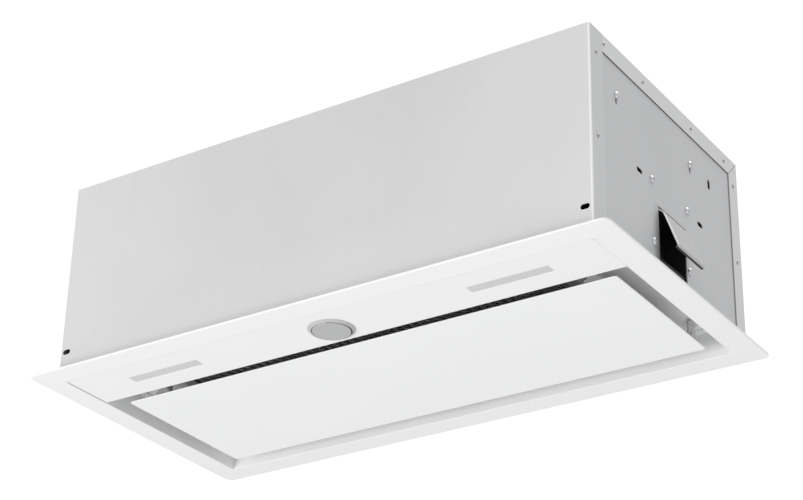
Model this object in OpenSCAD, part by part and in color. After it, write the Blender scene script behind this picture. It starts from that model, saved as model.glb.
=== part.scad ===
// Built-in range hood. A sheet casing slides up into a cabinet cut-out and hangs there on two spring wings.
// Below it sit a white trim frame, a control fascia and a suction panel with a slot all round.
// Origin: middle of the cut-out, level with the cabinet's underside. X right, Y to the rear, Z up.

/* [Casing] */
// Width of the casing
body_w = 558; // [540:1:640]
// Depth of the casing
body_d = 281; // [276:1:320]
// Height of the casing above the cabinet's underside
body_h = 196.5; // [192:0.5:240]
// Thickness of the casing sheet
sheet_t = 1; // [0.8:0.1:1.2]
// Width of the folded strips along the top and the rear
strip_w = 17.5; // [14:0.5:20]
// Width of the front wall's folded returns
return_w = 22.5; // [18:0.5:26]
// Width of the rounded screw slots low in the front wall
front_slot_w = 8.5; // [7:0.5:10]

/* [Trim frame] */
// How far the trim reaches past the casing at each side
side_reach = 21; // [16:1:30]
// How far the trim reaches in front of the casing
front_reach = 17; // [12:1:25]
// How far the trim reaches behind the casing
rear_reach = 4.5; // [3:0.5:8]
// From the casing's rear face to the rear edge of the suction opening
rear_ledge = 21; // [16:1:24]
// From the casing's front face to the fold where the fascia starts
fascia_inset = 6.5; // [4:0.5:10]
// Depth of the flat control fascia
fascia_d = 58; // [54:1:66]
// Height of the turned-up outer lip
lip_h = 2; // [1.5:0.1:3]
// Thickness of the trim sheet
trim_t = 1; // [0.8:0.1:1.2]
// How far the border falls from its outer edge to its inner rim
border_drop = 0.8; // [0.6:0.1:1.6]
// How far the fascia lies above the border's rim
fascia_recess = 0.8; // [0.4:0.1:0.8]
// Plan radius of the trim's outer corners
trim_corner_r = 7; // [4:1:12]
// Height of the walls round the suction opening
skirt_h = 24; // [23:0.5:28]

/* [Suction panel] */
// Suction slot between panel and side walls
gap_side = 17; // [14:0.5:22]
// Suction slot between fascia and panel
gap_front = 12.5; // [10:0.5:18]
// Suction slot between panel and rear wall
gap_rear = 17.5; // [16:0.5:22]
// Thickness of the panel's face sheet
panel_t = 1.2; // [0.8:0.1:1.6]
// How far the panel's face lies above the fascia's face
panel_recess = 0.6; // [0:0.1:1]
// Height of the folded tray behind the face
tray_h = 7; // [6:0.5:8]

/* [Controls and lights] */
// Radius of the knob
knob_r = 18.6; // [16:0.1:20]
// How far the knob stands out of the fascia when pushed home
knob_proud = 2.6; // [1.5:0.1:4]
// Travel of the knob when it pops out
knob_travel = 8; // [5:0.5:9]
// Width of the ring round the knob
ring_w = 3.2; // [2.5:0.1:4]
// Length of each light
light_w = 78; // [60:1:100]
// Depth of each light
light_d = 11; // [9:0.5:13]
// From the middle of the hood to the middle of each light
light_x = 181; // [165:1:195]

/* [Grease filter] */
// Width of the filter cassette
filter_w = 420; // [380:2:430]
// Depth of the filter cassette
filter_d = 150; // [140:1:152]
// Thickness of the filter cassette
filter_t = 8; // [7:0.5:9]
// Width of the cassette's rim
filter_rim = 11; // [8:0.5:14]

/* [Blower] */
// Radius of the impeller over its blade tips
wheel_r = 58; // [54:0.5:60]
// Width of the impeller
wheel_w = 96; // [84:2:110]
// Number of blades
blade_count = 36; // [24:2:42]
// Radial depth of a blade
blade_depth = 10; // [8:0.5:12]
// Radius of the motor
motor_r = 36; // [30:1:38]
// Radius of the motor shaft
shaft_r = 4; // [3:0.5:5]

/* [Duct collar] */
// Outer radius of the duct collar
collar_r = 74.5; // [70:0.5:76]
// Height of the collar above the casing
collar_h = 32; // [28:1:36]
// Wall of the collar
collar_t = 2; // [1.6:0.1:2.5]

/* [Spring wings] */
// Width of a spring wing
wing_w = 49.5; // [44:0.5:54]
// How far a wing's lower edge stands out from the side panel
wing_out = 16.6; // [12:0.1:19]
// Height of a wing from its root to its lower edge
wing_drop = 42.5; // [38:0.5:44]
// Thickness of the spring sheet
wing_t = 1; // [0.8:0.1:1.2]

/* [Hidden] */

// Facets of a full circle
$fn = 64;
// Overrun of every cut past the face that it opens
cut = 1;
// Running clearance of shafts and pins in their bores
run_gap = 0.05;
// Clearance between parts that move past each other or hook together
soft_gap = 0.3;
// Width of the seam between folded strips
seam = 0.4;

// Casing
// Half width and half depth of the casing
hw = body_w / 2;
hd = body_d / 2;
// Outer and inner faces of the side panels, and the top plate's underside
side_out = hw - sheet_t;
side_in = hw - 2 * sheet_t;
top_in = body_h - sheet_t;
// Top face of the trim's flange, on which the casing stands
z_seat = trim_t - lip_h;
// Screw slots low in the front wall
front_slot_h = 5;
front_slot_inset = 7.5;
front_slot_z = 24.2;
// Screw slots in the side panels
side_slot_l = 10;
side_slot_w = 4.6;
side_slot_pitch = 113.5;
side_slot_mid_y = 1.75;
side_slot_z = 96.5;
upright_slot_y = 81;
upright_slot_z = 147.5;
upright_slot_w = 5;
// Rivets along the folded strips
rivet_r = 1.6;
rivet_head = 0.7;
rivet_top_insets = [25, 95];
rivet_rear_insets = [94, 26.5];
rivet_front_drops = [23.8, 104];
rivet_rear_drops = [27, 105.5];
// Pan-head screws of the side panels
screw_head_r = 3.4;
screw_head_h = 2.4;
screw_r = 1.9;
screw_l = 7;
screw_slot_w = 0.9;
screw_slot_depth = 1;
// Upper side screws and the brackets that they hold
upper_screw_z = 149;
upper_screw_front_y = -94;
upper_screw_rear_y = 43;
hanger_w = 22;
hanger_t = 1.5;
hanger_leg = 18;
hanger_tail = 12;
// Keyhole slit under each upper screw
keyhole_w = 2.6;
keyhole_drop = 8.5;

// Spring wings
// Middle of the wing window, its clearance round the wing, and its upper and lower edges
wing_y = 2.75;
window_gap = 0.5;
window_top = 77.5;
window_bottom = 26;
// Root of the wing, where it flexes
root_x = side_in - wing_t / 2;
root_z = window_top + 1.5;
// Kink of the wing below the window's upper edge
kink_drop = 7.5;
kink_out = 4;
bend_drop = 3;
// Lip turned back along the wing's lower edge
wing_lip = 3;
wing_lip_rise = 1;
// Spring plate behind the side panel
plate_front = 17;
plate_rear = 12;
plate_top_z = 106;
plate_bottom_z = 31;
// Side screws beside the wing window
wing_screw_front = 10.5;
wing_screw_rear = 4.7;
wing_screw_upper_z = 98;
wing_screw_lower_z = 39;
// Black pocket behind the wing window
pocket_depth = 22;
pocket_t = 1.5;
pocket_side = 2.5;
pocket_sill_h = 5.5;
pocket_head_z = 86;

// Trim frame
trim_hw = hw + side_reach;
trim_front = -hd - front_reach;
trim_rear = hd + rear_reach;
// Clearance between the walls of the opening and the side panels
skirt_gap = 1;
rim_x = side_in - skirt_gap - trim_t;
rim_rear = hd - rear_ledge;
fascia_front = -hd + fascia_inset;
rim_front = fascia_front + fascia_d;
z_edge = -lip_h;
z_rim = z_edge - border_drop;
z_fascia = z_rim + fascia_recess;
pocket_r = 6;
skirt_flange_w = 8;

// Filter deck
deck_front = rim_front - trim_t;
deck_rear = hd - sheet_t;
deck_top = skirt_h + sheet_t;
deck_lap = 8;
deck_upstand = 10;
deck_tab_h = 12;
deck_tab_w = 20;
deck_tab_front = 4;
deck_tab_rear = 26;
deck_screw_r = 1.5;
deck_screw_head_r = 3;
deck_screw_head_h = 1.4;
deck_screw_inset = 30;

// Suction panel
panel_hw = rim_x - gap_side;
panel_front = rim_front + gap_front;
panel_rear = rim_rear - gap_rear;
panel_z = z_fascia + panel_recess;
panel_back = panel_z + panel_t;
panel_corner_r = 3;
// Folded tray behind the panel
tray_t = 1.2;
tray_inset = 12;
tray_rear_inset = 16.5;
tray_flange = 10;
tray_x = panel_hw - tray_inset;
tray_front = panel_front + tray_inset;
tray_rear = panel_rear - tray_rear_inset;
tray_top = panel_back + tray_h;
// Hinge of the panel
hinge_inset = 8;
hinge_y = panel_rear - hinge_inset;
hinge_rise = 3.4;
hinge_z = tray_top + hinge_rise;
hinge_r = 2.5;
ear_r = 5.5;
hinge_plate_t = 2;
hinge_plate_w = 13;
hinge_foot = 8;
hinge_gap = 1;
pin_head_r = 4;
pin_head_t = 1.2;
// Magnetic catches
catch_w = 16;
catch_d = 9;
catch_gap = 11;
magnet_t = 3;

// Grease filter
filter_mid_y = (panel_front + panel_rear) / 2;
filter_top = skirt_h;
filter_z = filter_top - filter_t;
filter_front = filter_mid_y - filter_d / 2;
filter_rear = filter_mid_y + filter_d / 2;
filter_sheet = 1;
mesh_gap = 0.5;
mesh_t = 5;
mesh_rib_pitch = 9;
mesh_rib_w = 3;
mesh_rib_h = 0.8;
// Latch that holds the cassette's rear edge
latch_w = 20;
latch_l = 38;
latch_t = 1.8;
latch_reach = 4;
latch_grip_h = 3.5;
latch_grip_t = 1.6;
keeper_w = 34;
keeper_t = 1.5;
keeper_gap = 1;
keeper_rear_gap = 0.5;
// Holders under the cassette's front edge
holder_w = 24;
holder_t = 1;
holder_lap = 6;
holder_x = 120;

// Controls and lights
control_share = 0.57;
control_y = fascia_front + fascia_d * control_share;
light_share = 0.5;
light_y = fascia_front + fascia_d * light_share;
knob_gap = 0.4;
ring_in = knob_r + knob_gap;
ring_out = ring_in + ring_w;
ring_tube_t = 1.2;
ring_face_t = 0.8;
ring_tube_h = 5;
knob_wall = 1.6;
knob_depth = 9;
knob_edge_r = 0.8;
stem_r = 3;
stem_boss_r = 6;
stem_collar_r = 5;
spindle_r = 5;
spindle_foot = 0.5;
stem_collar_h = 1.2;
switch_w = 26;
switch_rise = 3.5;
switch_roof = 4;
stem_hold = 4.5;
switch_z = z_fascia - knob_proud + knob_depth + switch_rise;
stem_top = switch_z + knob_travel + stem_hold;
switch_h = knob_travel + stem_hold + switch_roof;
bracket_t = 1.2;
bracket_foot = 9;
bracket_gap = 1;
light_flange = 3;
light_flange_t = 1;
tray_wall = 1.2;
tray_depth = 13;
board_t = 1.6;
led_pitch = 12;
led_w = 3;
led_h = 0.8;
board_rise = 5;

// Blower
// Clearance at the tongue and growth of the spiral
tongue_gap = 6;
scroll_growth = 19;
scroll_t = 1.5;
scroll_side_gap = 4;
tongue_angle = 75;
under_gap = 4.5;
scroll_r0 = wheel_r + tongue_gap;
scroll_r1 = scroll_r0 + scroll_growth;
scroll_hw = wheel_w / 2 + scroll_side_gap;
scroll_out = scroll_hw + scroll_t;
tongue_y = scroll_r0 * cos(tongue_angle);
blower_z = deck_top + under_gap + scroll_t + spiral_r(270);
outlet_top = top_in - blower_z;
outlet_flange = 8;
outlet_flange_t = 2;
collar_y = 14.8;
blower_y = collar_y - (tongue_y + scroll_r1) / 2;
outer_start_angle = acos((tongue_y - scroll_t) / (scroll_r0 + scroll_t));
inlet_r = 45;
inlet_lip = 6;
inlet_t = 1.5;
// Impeller
blade_t = 0.9;
blade_steps = 5;
blade_sweep_angle = 15;
blade_root_share = 0.15;
wheel_ring_t = 2;
wheel_ring_w = 4;
wheel_disc_t = 2;
hub_r = 11;
hub_front = 6;
hub_back = 10;
// Motor
motor_front = 8;
motor_l = 52;
motor_cap_l = 7;
motor_cap_lip = 2;
motor_boss_r = 9;
motor_boss_h = 1.5;
motor_fin_count = 12;
motor_fin_w = 2;
motor_fin_depth = 1.2;
bracket_arm_w = 13;
bracket_arm_t = 2;
bracket_hub_r = 24;
mount_circle_r = 58.5;
mount_r = 6;
mount_start_angle = 150;
shaft_tail = 3;
motor_rear = motor_front + motor_l + motor_cap_l;

// Duct collar
collar_in = collar_r - collar_t;
collar_flange_w = 14;
collar_flange_t = 2;
collar_ledge = 4;
collar_ledge_t = 1.5;
flap_play = 0.9;
flap_r = collar_in - flap_play;
flap_t = 1.2;
flap_pin_r = 1.5;
flap_knuckle_r = 3.2;
flap_knuckle_l = 18;
flap_rise = 14;
flap_z = body_h + flap_rise;
flap_offset = 3.7;
collar_boss_r = 4;
collar_boss_l = 4;
collar_screw_r = 1.8;
collar_screw_head_r = 3.2;
collar_screw_head_h = 2;
collar_screw_l = 6;
collar_screw_inset = 6.5;

// Control box, hung under the top plate
box_x = -232;
box_y = -58;
box_w = 96;
box_d = 92;
box_h = 42;
box_t = 2;
box_cover_t = 2;
box_board_rise = 8;
box_part_h = 14;
board_part_shares = [0.15, 0.6];
board_part_w_share = 0.2;
cap_r = 15;
cap_l = 58;
cap_foot_w = 16;
cap_foot_h = 5;
gland_x = -185;
gland_y = 108;
gland_r = 4.2;
gland_body_r = 8;
gland_dome_r = 9.6;
gland_hex_r = 12;
gland_hex_h = 5;
gland_h = 15;
gland_tail = 7;
wire_r = 1.6;
wire_turn_r = 6;
motor_lead_rise = 29.5;
motor_lead_run = 30;
right_lead_x = -160;
right_lead_z = 30;
switch_lead_x = -146;
switch_lead_back = 11;
switch_lead_rise = 7;

// A block between two limits on each axis
module span(x, y, z) {
    translate([x[0], y[0], z[0]]) cube([x[1] - x[0], y[1] - y[0], z[1] - z[0]]);
}

// An outline drawn in Y and Z, given a length along X from x0
module along_x(x0, length) {
    translate([x0, 0, 0]) rotate([90, 0, 90]) linear_extrude(length) children();
}

// An outline drawn in X and Z, given a length along Y from y0
module along_y(y0, length) {
    translate([0, y0 + length, 0]) rotate([90, 0, 0]) linear_extrude(length) children();
}

// A round bar along X, centred on a point in Y and Z
module bar_x(x0, x1, y, z, r) {
    translate([x0, y, z]) rotate([0, 90, 0]) cylinder(h = x1 - x0, r = r);
}

// A slot with round ends, drawn flat, its length along the first axis
module slot_2d(length, width) {
    square([length - width, width], center = true);
    for (side = [-1, 1]) translate([side * (length - width) / 2, 0]) circle(r = width / 2);
}

// A rectangle between two corners, drawn flat
module rect_2d(x, y) {
    translate([x[0], y[0]]) square([x[1] - x[0], y[1] - y[0]]);
}

// The same rectangle with round corners
module round_rect_2d(x, y, r) {
    rect_2d([x[0] + r, x[1] - r], y);
    rect_2d(x, [y[0] + r, y[1] - r]);
    for (cx = [x[0] + r, x[1] - r], cy = [y[0] + r, y[1] - r]) translate([cx, cy]) circle(r = r);
}

// Places of the six screws of a side panel, in Y and Z
wing_front = wing_y - wing_w / 2;
wing_rear = wing_y + wing_w / 2;
window_front = wing_front - window_gap;
window_rear = wing_rear + window_gap;
upper_screws = [[upper_screw_front_y, upper_screw_z], [upper_screw_rear_y, upper_screw_z]];
wing_screws = [for (y = [window_front - wing_screw_front, window_rear + wing_screw_rear],
                    z = [wing_screw_lower_z, wing_screw_upper_z]) [y, z]];

// The front wall is one sheet, folded back at both ends
module front_wall() {
    color("gainsboro") difference() {
        union() {
            span([-hw, hw], [-hd, -hd + sheet_t], [z_seat, top_in]);
            for (x = [[-hw, -side_out], [side_out, hw]])
                span(x, [-hd, -hd + return_w], [z_seat, top_in]);
        }
        for (side = [-1, 1])
            along_y(-hd - cut, sheet_t + 2 * cut)
                translate([side * (hw - front_slot_inset), front_slot_z])
                    slot_2d(front_slot_w, front_slot_h);
    }
}

// The top plate has a strip folded down over each side panel, mitred at the rear
module top_plate() {
    strip_front = -hd + return_w;
    color("silver") difference() {
        union() {
            span([-hw, hw], [-hd, hd], [top_in, body_h]);
            for (x0 = [-hw, side_out])
                along_x(x0, sheet_t) polygon([[strip_front, body_h - strip_w],
                    [hd - strip_w, body_h - strip_w], [hd, body_h], [strip_front, body_h]]);
        }
        span([-scroll_hw, scroll_hw], [blower_y + tongue_y, blower_y + scroll_r1],
            [top_in - cut, body_h + cut]);
        for (p = collar_screw_places())
            translate([p[0], p[1], top_in - cut]) cylinder(h = sheet_t + 2 * cut, r = collar_screw_r);
        translate([gland_x, gland_y, top_in - cut]) cylinder(h = sheet_t + 2 * cut, r = gland_body_r);
    }
}

// The rear wall is folded forward over each side panel
module rear_wall() {
    color("silver") {
        span([-hw, hw], [hd - sheet_t, hd], [z_seat, top_in]);
        for (x0 = [-hw, side_out])
            along_x(x0, sheet_t) polygon([[hd - strip_w, z_seat], [hd, z_seat], [hd, top_in],
                [hd - sheet_t + seam, top_in], [hd - strip_w, body_h - strip_w - seam]]);
    }
}

// Slit down from an upper screw's hole, in Y and Z
module keyhole_2d(p) {
    translate([p[0], p[1] - keyhole_drop / 2]) rotate(90) slot_2d(keyhole_drop, keyhole_w);
}

// A side panel: wing window, screw slots, screw holes and the slits under the upper ones
module side_panel() {
    color("darkgray") difference() {
        span([side_in, side_out], [-hd + sheet_t, hd - sheet_t], [z_seat, top_in]);
        along_x(side_in - cut, sheet_t + 2 * cut) {
            rect_2d([window_front, window_rear], [window_bottom, window_top]);
            for (side = [-1, 1])
                translate([side_slot_mid_y + side * side_slot_pitch / 2, side_slot_z])
                    slot_2d(side_slot_l, side_slot_w);
            translate([upright_slot_y, upright_slot_z]) rotate(90) slot_2d(side_slot_l, upright_slot_w);
            for (p = upper_screws) keyhole_2d(p);
            for (p = concat(upper_screws, wing_screws)) translate(p) circle(r = screw_r);
        }
    }
}

module right_side_panel() { side_panel(); }
module left_side_panel() { mirror([1, 0, 0]) side_panel(); }

// Places of the rivets in Y and Z: four along the top strip, then two down each end
rivet_top_z = body_h - strip_w / 2;
rivet_places = concat([for (inset = rivet_top_insets) [-hd + inset, rivet_top_z]],
    [for (inset = rivet_rear_insets) [hd - inset, rivet_top_z]],
    [for (drop = rivet_front_drops) [-hd + return_w / 2, body_h - drop]],
    [for (drop = rivet_rear_drops) [hd - strip_w / 2, body_h - drop]]);

module casing_rivets() {
    color("dimgray") for (flip = [0, 1]) mirror([flip, 0, 0]) for (p = rivet_places)
        translate([hw, p[0], p[1]]) rotate([0, 90, 0])
            cylinder(h = rivet_head, r1 = rivet_r, r2 = rivet_r / 2);
}

// A pan-head screw along X, its head's seat at the side panel's outer face
module side_screw() {
    translate([side_out, 0, 0]) rotate([0, 90, 0]) difference() {
        union() {
            cylinder(h = screw_head_h / 2, r = screw_head_r);
            translate([0, 0, screw_head_h / 2])
                cylinder(h = screw_head_h / 2, r1 = screw_head_r, r2 = screw_head_r / 2);
            translate([0, 0, -screw_l]) cylinder(h = screw_l, r = screw_r);
        }
        translate([-screw_slot_w / 2, -screw_head_r, screw_head_h - screw_slot_depth])
            cube([screw_slot_w, 2 * screw_head_r, screw_head_h]);
    }
}

module side_screws() {
    color("whitesmoke") for (flip = [0, 1]) mirror([flip, 0, 0])
        for (p = concat(upper_screws, wing_screws)) translate([0, p[0], p[1]]) side_screw();
}

// Angle brackets that tie the side panels to the top plate
module hanger_brackets() {
    color("silver") for (flip = [0, 1]) mirror([flip, 0, 0]) for (p = upper_screws) difference() {
        along_y(p[0] - hanger_w / 2, hanger_w) {
            rect_2d([side_in - hanger_t, side_in], [p[1] - hanger_tail, top_in]);
            rect_2d([side_in - hanger_leg, side_in], [top_in - hanger_t, top_in]);
        }
        bar_x(side_in - hanger_t - cut, side_in + cut, p[0], p[1], screw_r);
        along_x(side_in - hanger_t - cut, hanger_t + 2 * cut) keyhole_2d(p);
    }
}

// Spring plate behind the side panel: an arch round the wing's window
module wing_plate() {
    color("silver") along_x(side_in - wing_t, wing_t) difference() {
        rect_2d([window_front - plate_front, window_rear + plate_rear], [plate_bottom_z, plate_top_z]);
        rect_2d([window_front, window_rear], [plate_bottom_z - cut, root_z + wing_t / 2 + soft_gap]);
        for (p = wing_screws) translate(p) circle(r = screw_r);
    }
}

module right_wing_plate() { wing_plate(); }
module left_wing_plate() { mirror([1, 0, 0]) wing_plate(); }

// The wing's sheet follows these points in X and Z: root, bend, kink, lower edge
wing_points = [[root_x, root_z], [root_x, root_z - bend_drop],
    [side_out + kink_out, root_z - kink_drop], [side_out + wing_out, root_z - wing_drop]];
wing_lip_point = [side_out + wing_out - wing_lip, root_z - wing_drop - wing_lip_rise];

// A strip of sheet between two points, with round ends
module strip_2d(a, b, t) {
    run = norm(b - a);
    translate(a) rotate(atan2(b[1] - a[1], b[0] - a[0])) translate([run / 2, 0]) slot_2d(run + t, t);
}

module wing() {
    color("lightgray") along_y(wing_front, wing_w) {
        for (i = [0 : len(wing_points) - 2]) strip_2d(wing_points[i], wing_points[i + 1], wing_t);
        strip_2d(wing_points[len(wing_points) - 1], wing_lip_point, wing_t);
    }
}

module right_wing() { wing(); }
module left_wing() { mirror([1, 0, 0]) wing(); }

// Black pocket that closes the window from inside, with a raised sill
module wing_pocket() {
    pocket_x = side_in - wing_t - pocket_depth;
    y = [window_front - pocket_side, window_rear + pocket_side];
    sill_z = window_bottom + pocket_sill_h;
    color([0.08, 0.08, 0.09]) difference() {
        span([pocket_x, side_in - wing_t], y, [deck_top, pocket_head_z]);
        span([pocket_x + pocket_t, side_in], [y[0] + pocket_t, y[1] - pocket_t],
            [sill_z, pocket_head_z - pocket_t]);
    }
}

module right_wing_pocket() { wing_pocket(); }
module left_wing_pocket() { mirror([1, 0, 0]) wing_pocket(); }

// The trim's plan outline, drawn in by a given amount
module trim_outline(inset) {
    round_rect_2d([-trim_hw + inset, trim_hw - inset], [trim_front + inset, trim_rear - inset],
        trim_corner_r - inset);
}

// Sloping border: where the two profiles cross they meet in a mitre
module trim_plate() {
    intersection() {
        along_y(trim_front, trim_rear - trim_front) polygon([[-trim_hw, z_edge], [-rim_x, z_rim],
            [rim_x, z_rim], [trim_hw, z_edge], [trim_hw, z_seat], [-trim_hw, z_seat]]);
        along_x(-trim_hw, 2 * trim_hw) polygon([[trim_front, z_edge], [fascia_front, z_rim],
            [rim_rear, z_rim], [trim_rear, z_edge], [trim_rear, z_seat], [trim_front, z_seat]]);
        translate([0, 0, z_rim]) linear_extrude(z_seat - z_rim) trim_outline(0);
    }
}

// White trim frame: border, lip, control fascia and the walls round the suction opening
module trim_frame() {
    color("white") difference() {
        union() {
            trim_plate();
            translate([0, 0, z_edge + trim_t / 2]) linear_extrude(lip_h - trim_t / 2) difference() {
                trim_outline(0);
                trim_outline(trim_t);
            }
            span([-rim_x - trim_t, rim_x + trim_t], [rim_front - trim_t, rim_rear + trim_t],
                [z_fascia, skirt_h]);
        }
        span([-rim_x, rim_x], [rim_front, rim_rear], [z_rim - cut, skirt_h - trim_t]);
        span([-rim_x + skirt_flange_w, rim_x - skirt_flange_w],
            [rim_front, rim_rear - skirt_flange_w], [skirt_h - trim_t - cut, skirt_h + cut]);
        translate([0, 0, z_rim - cut]) linear_extrude(z_fascia - z_rim + cut)
            round_rect_2d([-rim_x, rim_x], [fascia_front, rim_front + 2 * pocket_r], pocket_r);
        for (side = [-1, 1])
            span([side * light_x - light_w / 2, side * light_x + light_w / 2],
                [light_y - light_d / 2, light_y + light_d / 2], [z_fascia - cut, z_seat + cut]);
        translate([0, control_y, z_fascia - cut]) 
            cylinder(h = z_seat - z_fascia + 2 * cut, r = ring_in + ring_tube_t + run_gap);
        for (p = deck_screw_places())
            translate([p[0], p[1], skirt_h - trim_t - cut])
                cylinder(h = trim_t + 2 * cut, r = deck_screw_r);
    }
}

// Screws that join the deck to the flange on the opening's walls
function deck_screw_places() = concat(
    [for (x = [-1, 1], y = [rim_front + deck_screw_inset, rim_rear - deck_screw_inset])
        [x * (rim_x - skirt_flange_w / 2), y]],
    [for (x = [-1, 1]) [x * rim_x / 2, rim_rear - skirt_flange_w / 2]]);

module deck_screws() {
    color("silver") for (p = deck_screw_places()) translate([p[0], p[1], skirt_h - trim_t]) {
        cylinder(h = trim_t + sheet_t, r = deck_screw_r);
        translate([0, 0, trim_t + sheet_t])
            cylinder(h = deck_screw_head_h, r1 = deck_screw_head_r, r2 = deck_screw_head_r / 2);
    }
}

// Deck that closes the casing above the opening and carries the grease filter
module filter_deck() {
    color("silver") difference() {
        union() {
            span([-side_in, side_in], [deck_front, deck_rear], [skirt_h, deck_top]);
            span([-rim_x, rim_x], [deck_front, deck_front + sheet_t], [skirt_h, deck_top + deck_upstand]);
            for (flip = [0, 1], y = [deck_front + deck_tab_front, deck_rear - deck_tab_rear - deck_tab_w])
                mirror([flip, 0, 0])
                    span([side_in - sheet_t, side_in], [y, y + deck_tab_w],
                        [skirt_h, deck_top + deck_tab_h]);
        }
        span([-filter_w / 2 + deck_lap, filter_w / 2 - deck_lap],
            [filter_front + deck_lap, filter_rear - deck_lap], [skirt_h - cut, deck_top + cut]);
        for (p = deck_screw_places())
            translate([p[0], p[1], skirt_h - cut]) cylinder(h = sheet_t + 2 * cut, r = deck_screw_r);
    }
}

// Flat white face of the suction panel
module panel_face() {
    color("white") translate([0, 0, panel_z]) linear_extrude(panel_t)
        round_rect_2d([-panel_hw, panel_hw], [panel_front, panel_rear], panel_corner_r);
}

// Folded tray that stiffens the panel, with an ear for each hinge pin
module panel_tray() {
    color("gainsboro") difference() {
        union() {
            span([-tray_x, tray_x], [tray_front, tray_rear], [panel_back, tray_top]);
            for (flip = [0, 1]) mirror([flip, 0, 0]) along_x(tray_x - tray_t, tray_t) {
                rect_2d([tray_rear - ear_r, hinge_y], [panel_back, hinge_z + ear_r / 2]);
                rect_2d([hinge_y - ear_r, hinge_y + ear_r], [panel_back, hinge_z]);
                translate([hinge_y, hinge_z]) circle(r = ear_r);
            }
        }
        span([-tray_x + tray_t, tray_x - tray_t], [tray_front + tray_t, tray_rear - tray_t],
            [panel_back - cut, tray_top - tray_t]);
        span([-tray_x + tray_flange, tray_x - tray_flange],
            [tray_front + tray_flange, tray_rear - tray_flange], [panel_back - cut, tray_top + cut]);
        bar_x(-tray_x - cut, tray_x + cut, hinge_y, hinge_z, hinge_r + run_gap);
    }
}

// Hinge brackets under the deck
module hinge_brackets() {
    plate_x = tray_x + hinge_gap;
    color("silver") for (flip = [0, 1]) mirror([flip, 0, 0]) difference() {
        union() {
            along_x(plate_x, hinge_plate_t) {
                rect_2d([hinge_y - hinge_plate_w / 2, hinge_y + hinge_plate_w / 2], [hinge_z, skirt_h]);
                translate([hinge_y, hinge_z]) circle(r = ear_r);
            }
            span([plate_x, plate_x + hinge_plate_t + hinge_foot],
                [hinge_y - hinge_plate_w / 2, hinge_y + hinge_plate_w / 2],
                [skirt_h - hinge_plate_t, skirt_h]);
        }
        bar_x(plate_x - cut, plate_x + hinge_plate_t + cut, hinge_y, hinge_z, hinge_r);
    }
}

module hinge_pins() {
    plate_x = tray_x + hinge_gap;
    color("dimgray") for (flip = [0, 1]) mirror([flip, 0, 0]) {
        bar_x(tray_x - tray_t - hinge_gap, plate_x + hinge_plate_t, hinge_y, hinge_z, hinge_r);
        bar_x(plate_x + hinge_plate_t, plate_x + hinge_plate_t + pin_head_t, hinge_y, hinge_z, pin_head_r);
    }
}

// Magnets on their posts beside the filter, just above the tray's front flange
module panel_catches() {
    color([0.15, 0.15, 0.16]) for (flip = [0, 1]) mirror([flip, 0, 0]) {
        x = [filter_w / 2 + catch_gap, filter_w / 2 + catch_gap + catch_w];
        span([x[0] + magnet_t, x[1] - magnet_t], [tray_front, tray_front + catch_d],
            [tray_top + soft_gap + magnet_t, skirt_h]);
        span(x, [tray_front, tray_front + catch_d], [tray_top + soft_gap, tray_top + soft_gap + magnet_t]);
    }
}

// Rim of the grease cassette
module filter_frame() {
    color("darkgray") difference() {
        span([-filter_w / 2, filter_w / 2], [filter_front, filter_rear], [filter_z, filter_top]);
        span([-filter_w / 2 + filter_rim, filter_w / 2 - filter_rim],
            [filter_front + filter_rim, filter_rear - filter_rim], [filter_z - cut, filter_top + cut]);
        span([-filter_w / 2 + filter_sheet, filter_w / 2 - filter_sheet],
            [filter_front + filter_sheet, filter_rear - filter_sheet],
            [filter_z + filter_sheet, filter_top - filter_sheet]);
    }
}

// Pleated mesh pad of the cassette, ribbed along Y on both faces
module filter_mesh() {
    x = filter_w / 2 - filter_sheet - mesh_gap;
    y = [filter_front + filter_sheet + mesh_gap, filter_rear - filter_sheet - mesh_gap];
    z = [filter_z + (filter_t - mesh_t) / 2, filter_top - (filter_t - mesh_t) / 2];
    rib_y = [filter_front + filter_rim + mesh_gap, filter_rear - filter_rim - mesh_gap];
    rib_count = floor((filter_w / 2 - filter_rim - mesh_rib_w) / mesh_rib_pitch);
    color("gray") {
        span([-x, x], y, z);
        for (i = [-rib_count : rib_count])
            span([i * mesh_rib_pitch - mesh_rib_w / 2, i * mesh_rib_pitch + mesh_rib_w / 2], rib_y,
                [z[0] - mesh_rib_h, z[1] + mesh_rib_h]);
    }
}

// Sliding latch under the cassette's rear rim, with a finger grip
latch_top = filter_z - soft_gap;
module filter_latch() {
    color("dimgray") {
        span([-latch_w / 2, latch_w / 2], [filter_rear + latch_reach - latch_l, filter_rear + latch_reach],
            [latch_top - latch_t, latch_top]);
        span([-latch_w / 2, latch_w / 2],
            [filter_rear + latch_reach - latch_l, filter_rear + latch_reach - latch_l + latch_grip_t],
            [latch_top - latch_grip_h, latch_top]);
    }
}

// Keeper plate that the latch bolt enters
module latch_keeper() {
    y = [filter_rear + keeper_gap, filter_rear + keeper_gap + keeper_t];
    slot_x = latch_w / 2 + soft_gap;
    low = latch_top - latch_t - soft_gap;
    color("silver") difference() {
        union() {
            span([-keeper_w / 2, keeper_w / 2], y, [low - keeper_t, skirt_h]);
            span([-keeper_w / 2, keeper_w / 2], [y[0], rim_rear - skirt_flange_w - keeper_rear_gap],
                [skirt_h - keeper_t, skirt_h]);
        }
        span([-slot_x, slot_x], [y[0] - cut, y[1] + cut], [low, latch_top + soft_gap]);
    }
}

// Hooks that hold up the cassette's front edge
module filter_holders() {
    color("silver") for (side = [-1, 1])
        translate([side * holder_x, 0, 0]) along_x(-holder_w / 2, holder_w) {
            rect_2d([filter_front - soft_gap - holder_t, filter_front - soft_gap],
                [filter_z - soft_gap - holder_t, skirt_h]);
            rect_2d([filter_front - soft_gap - holder_t, filter_front + holder_lap],
                [filter_z - soft_gap - holder_t, filter_z - soft_gap]);
        }
}

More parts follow.
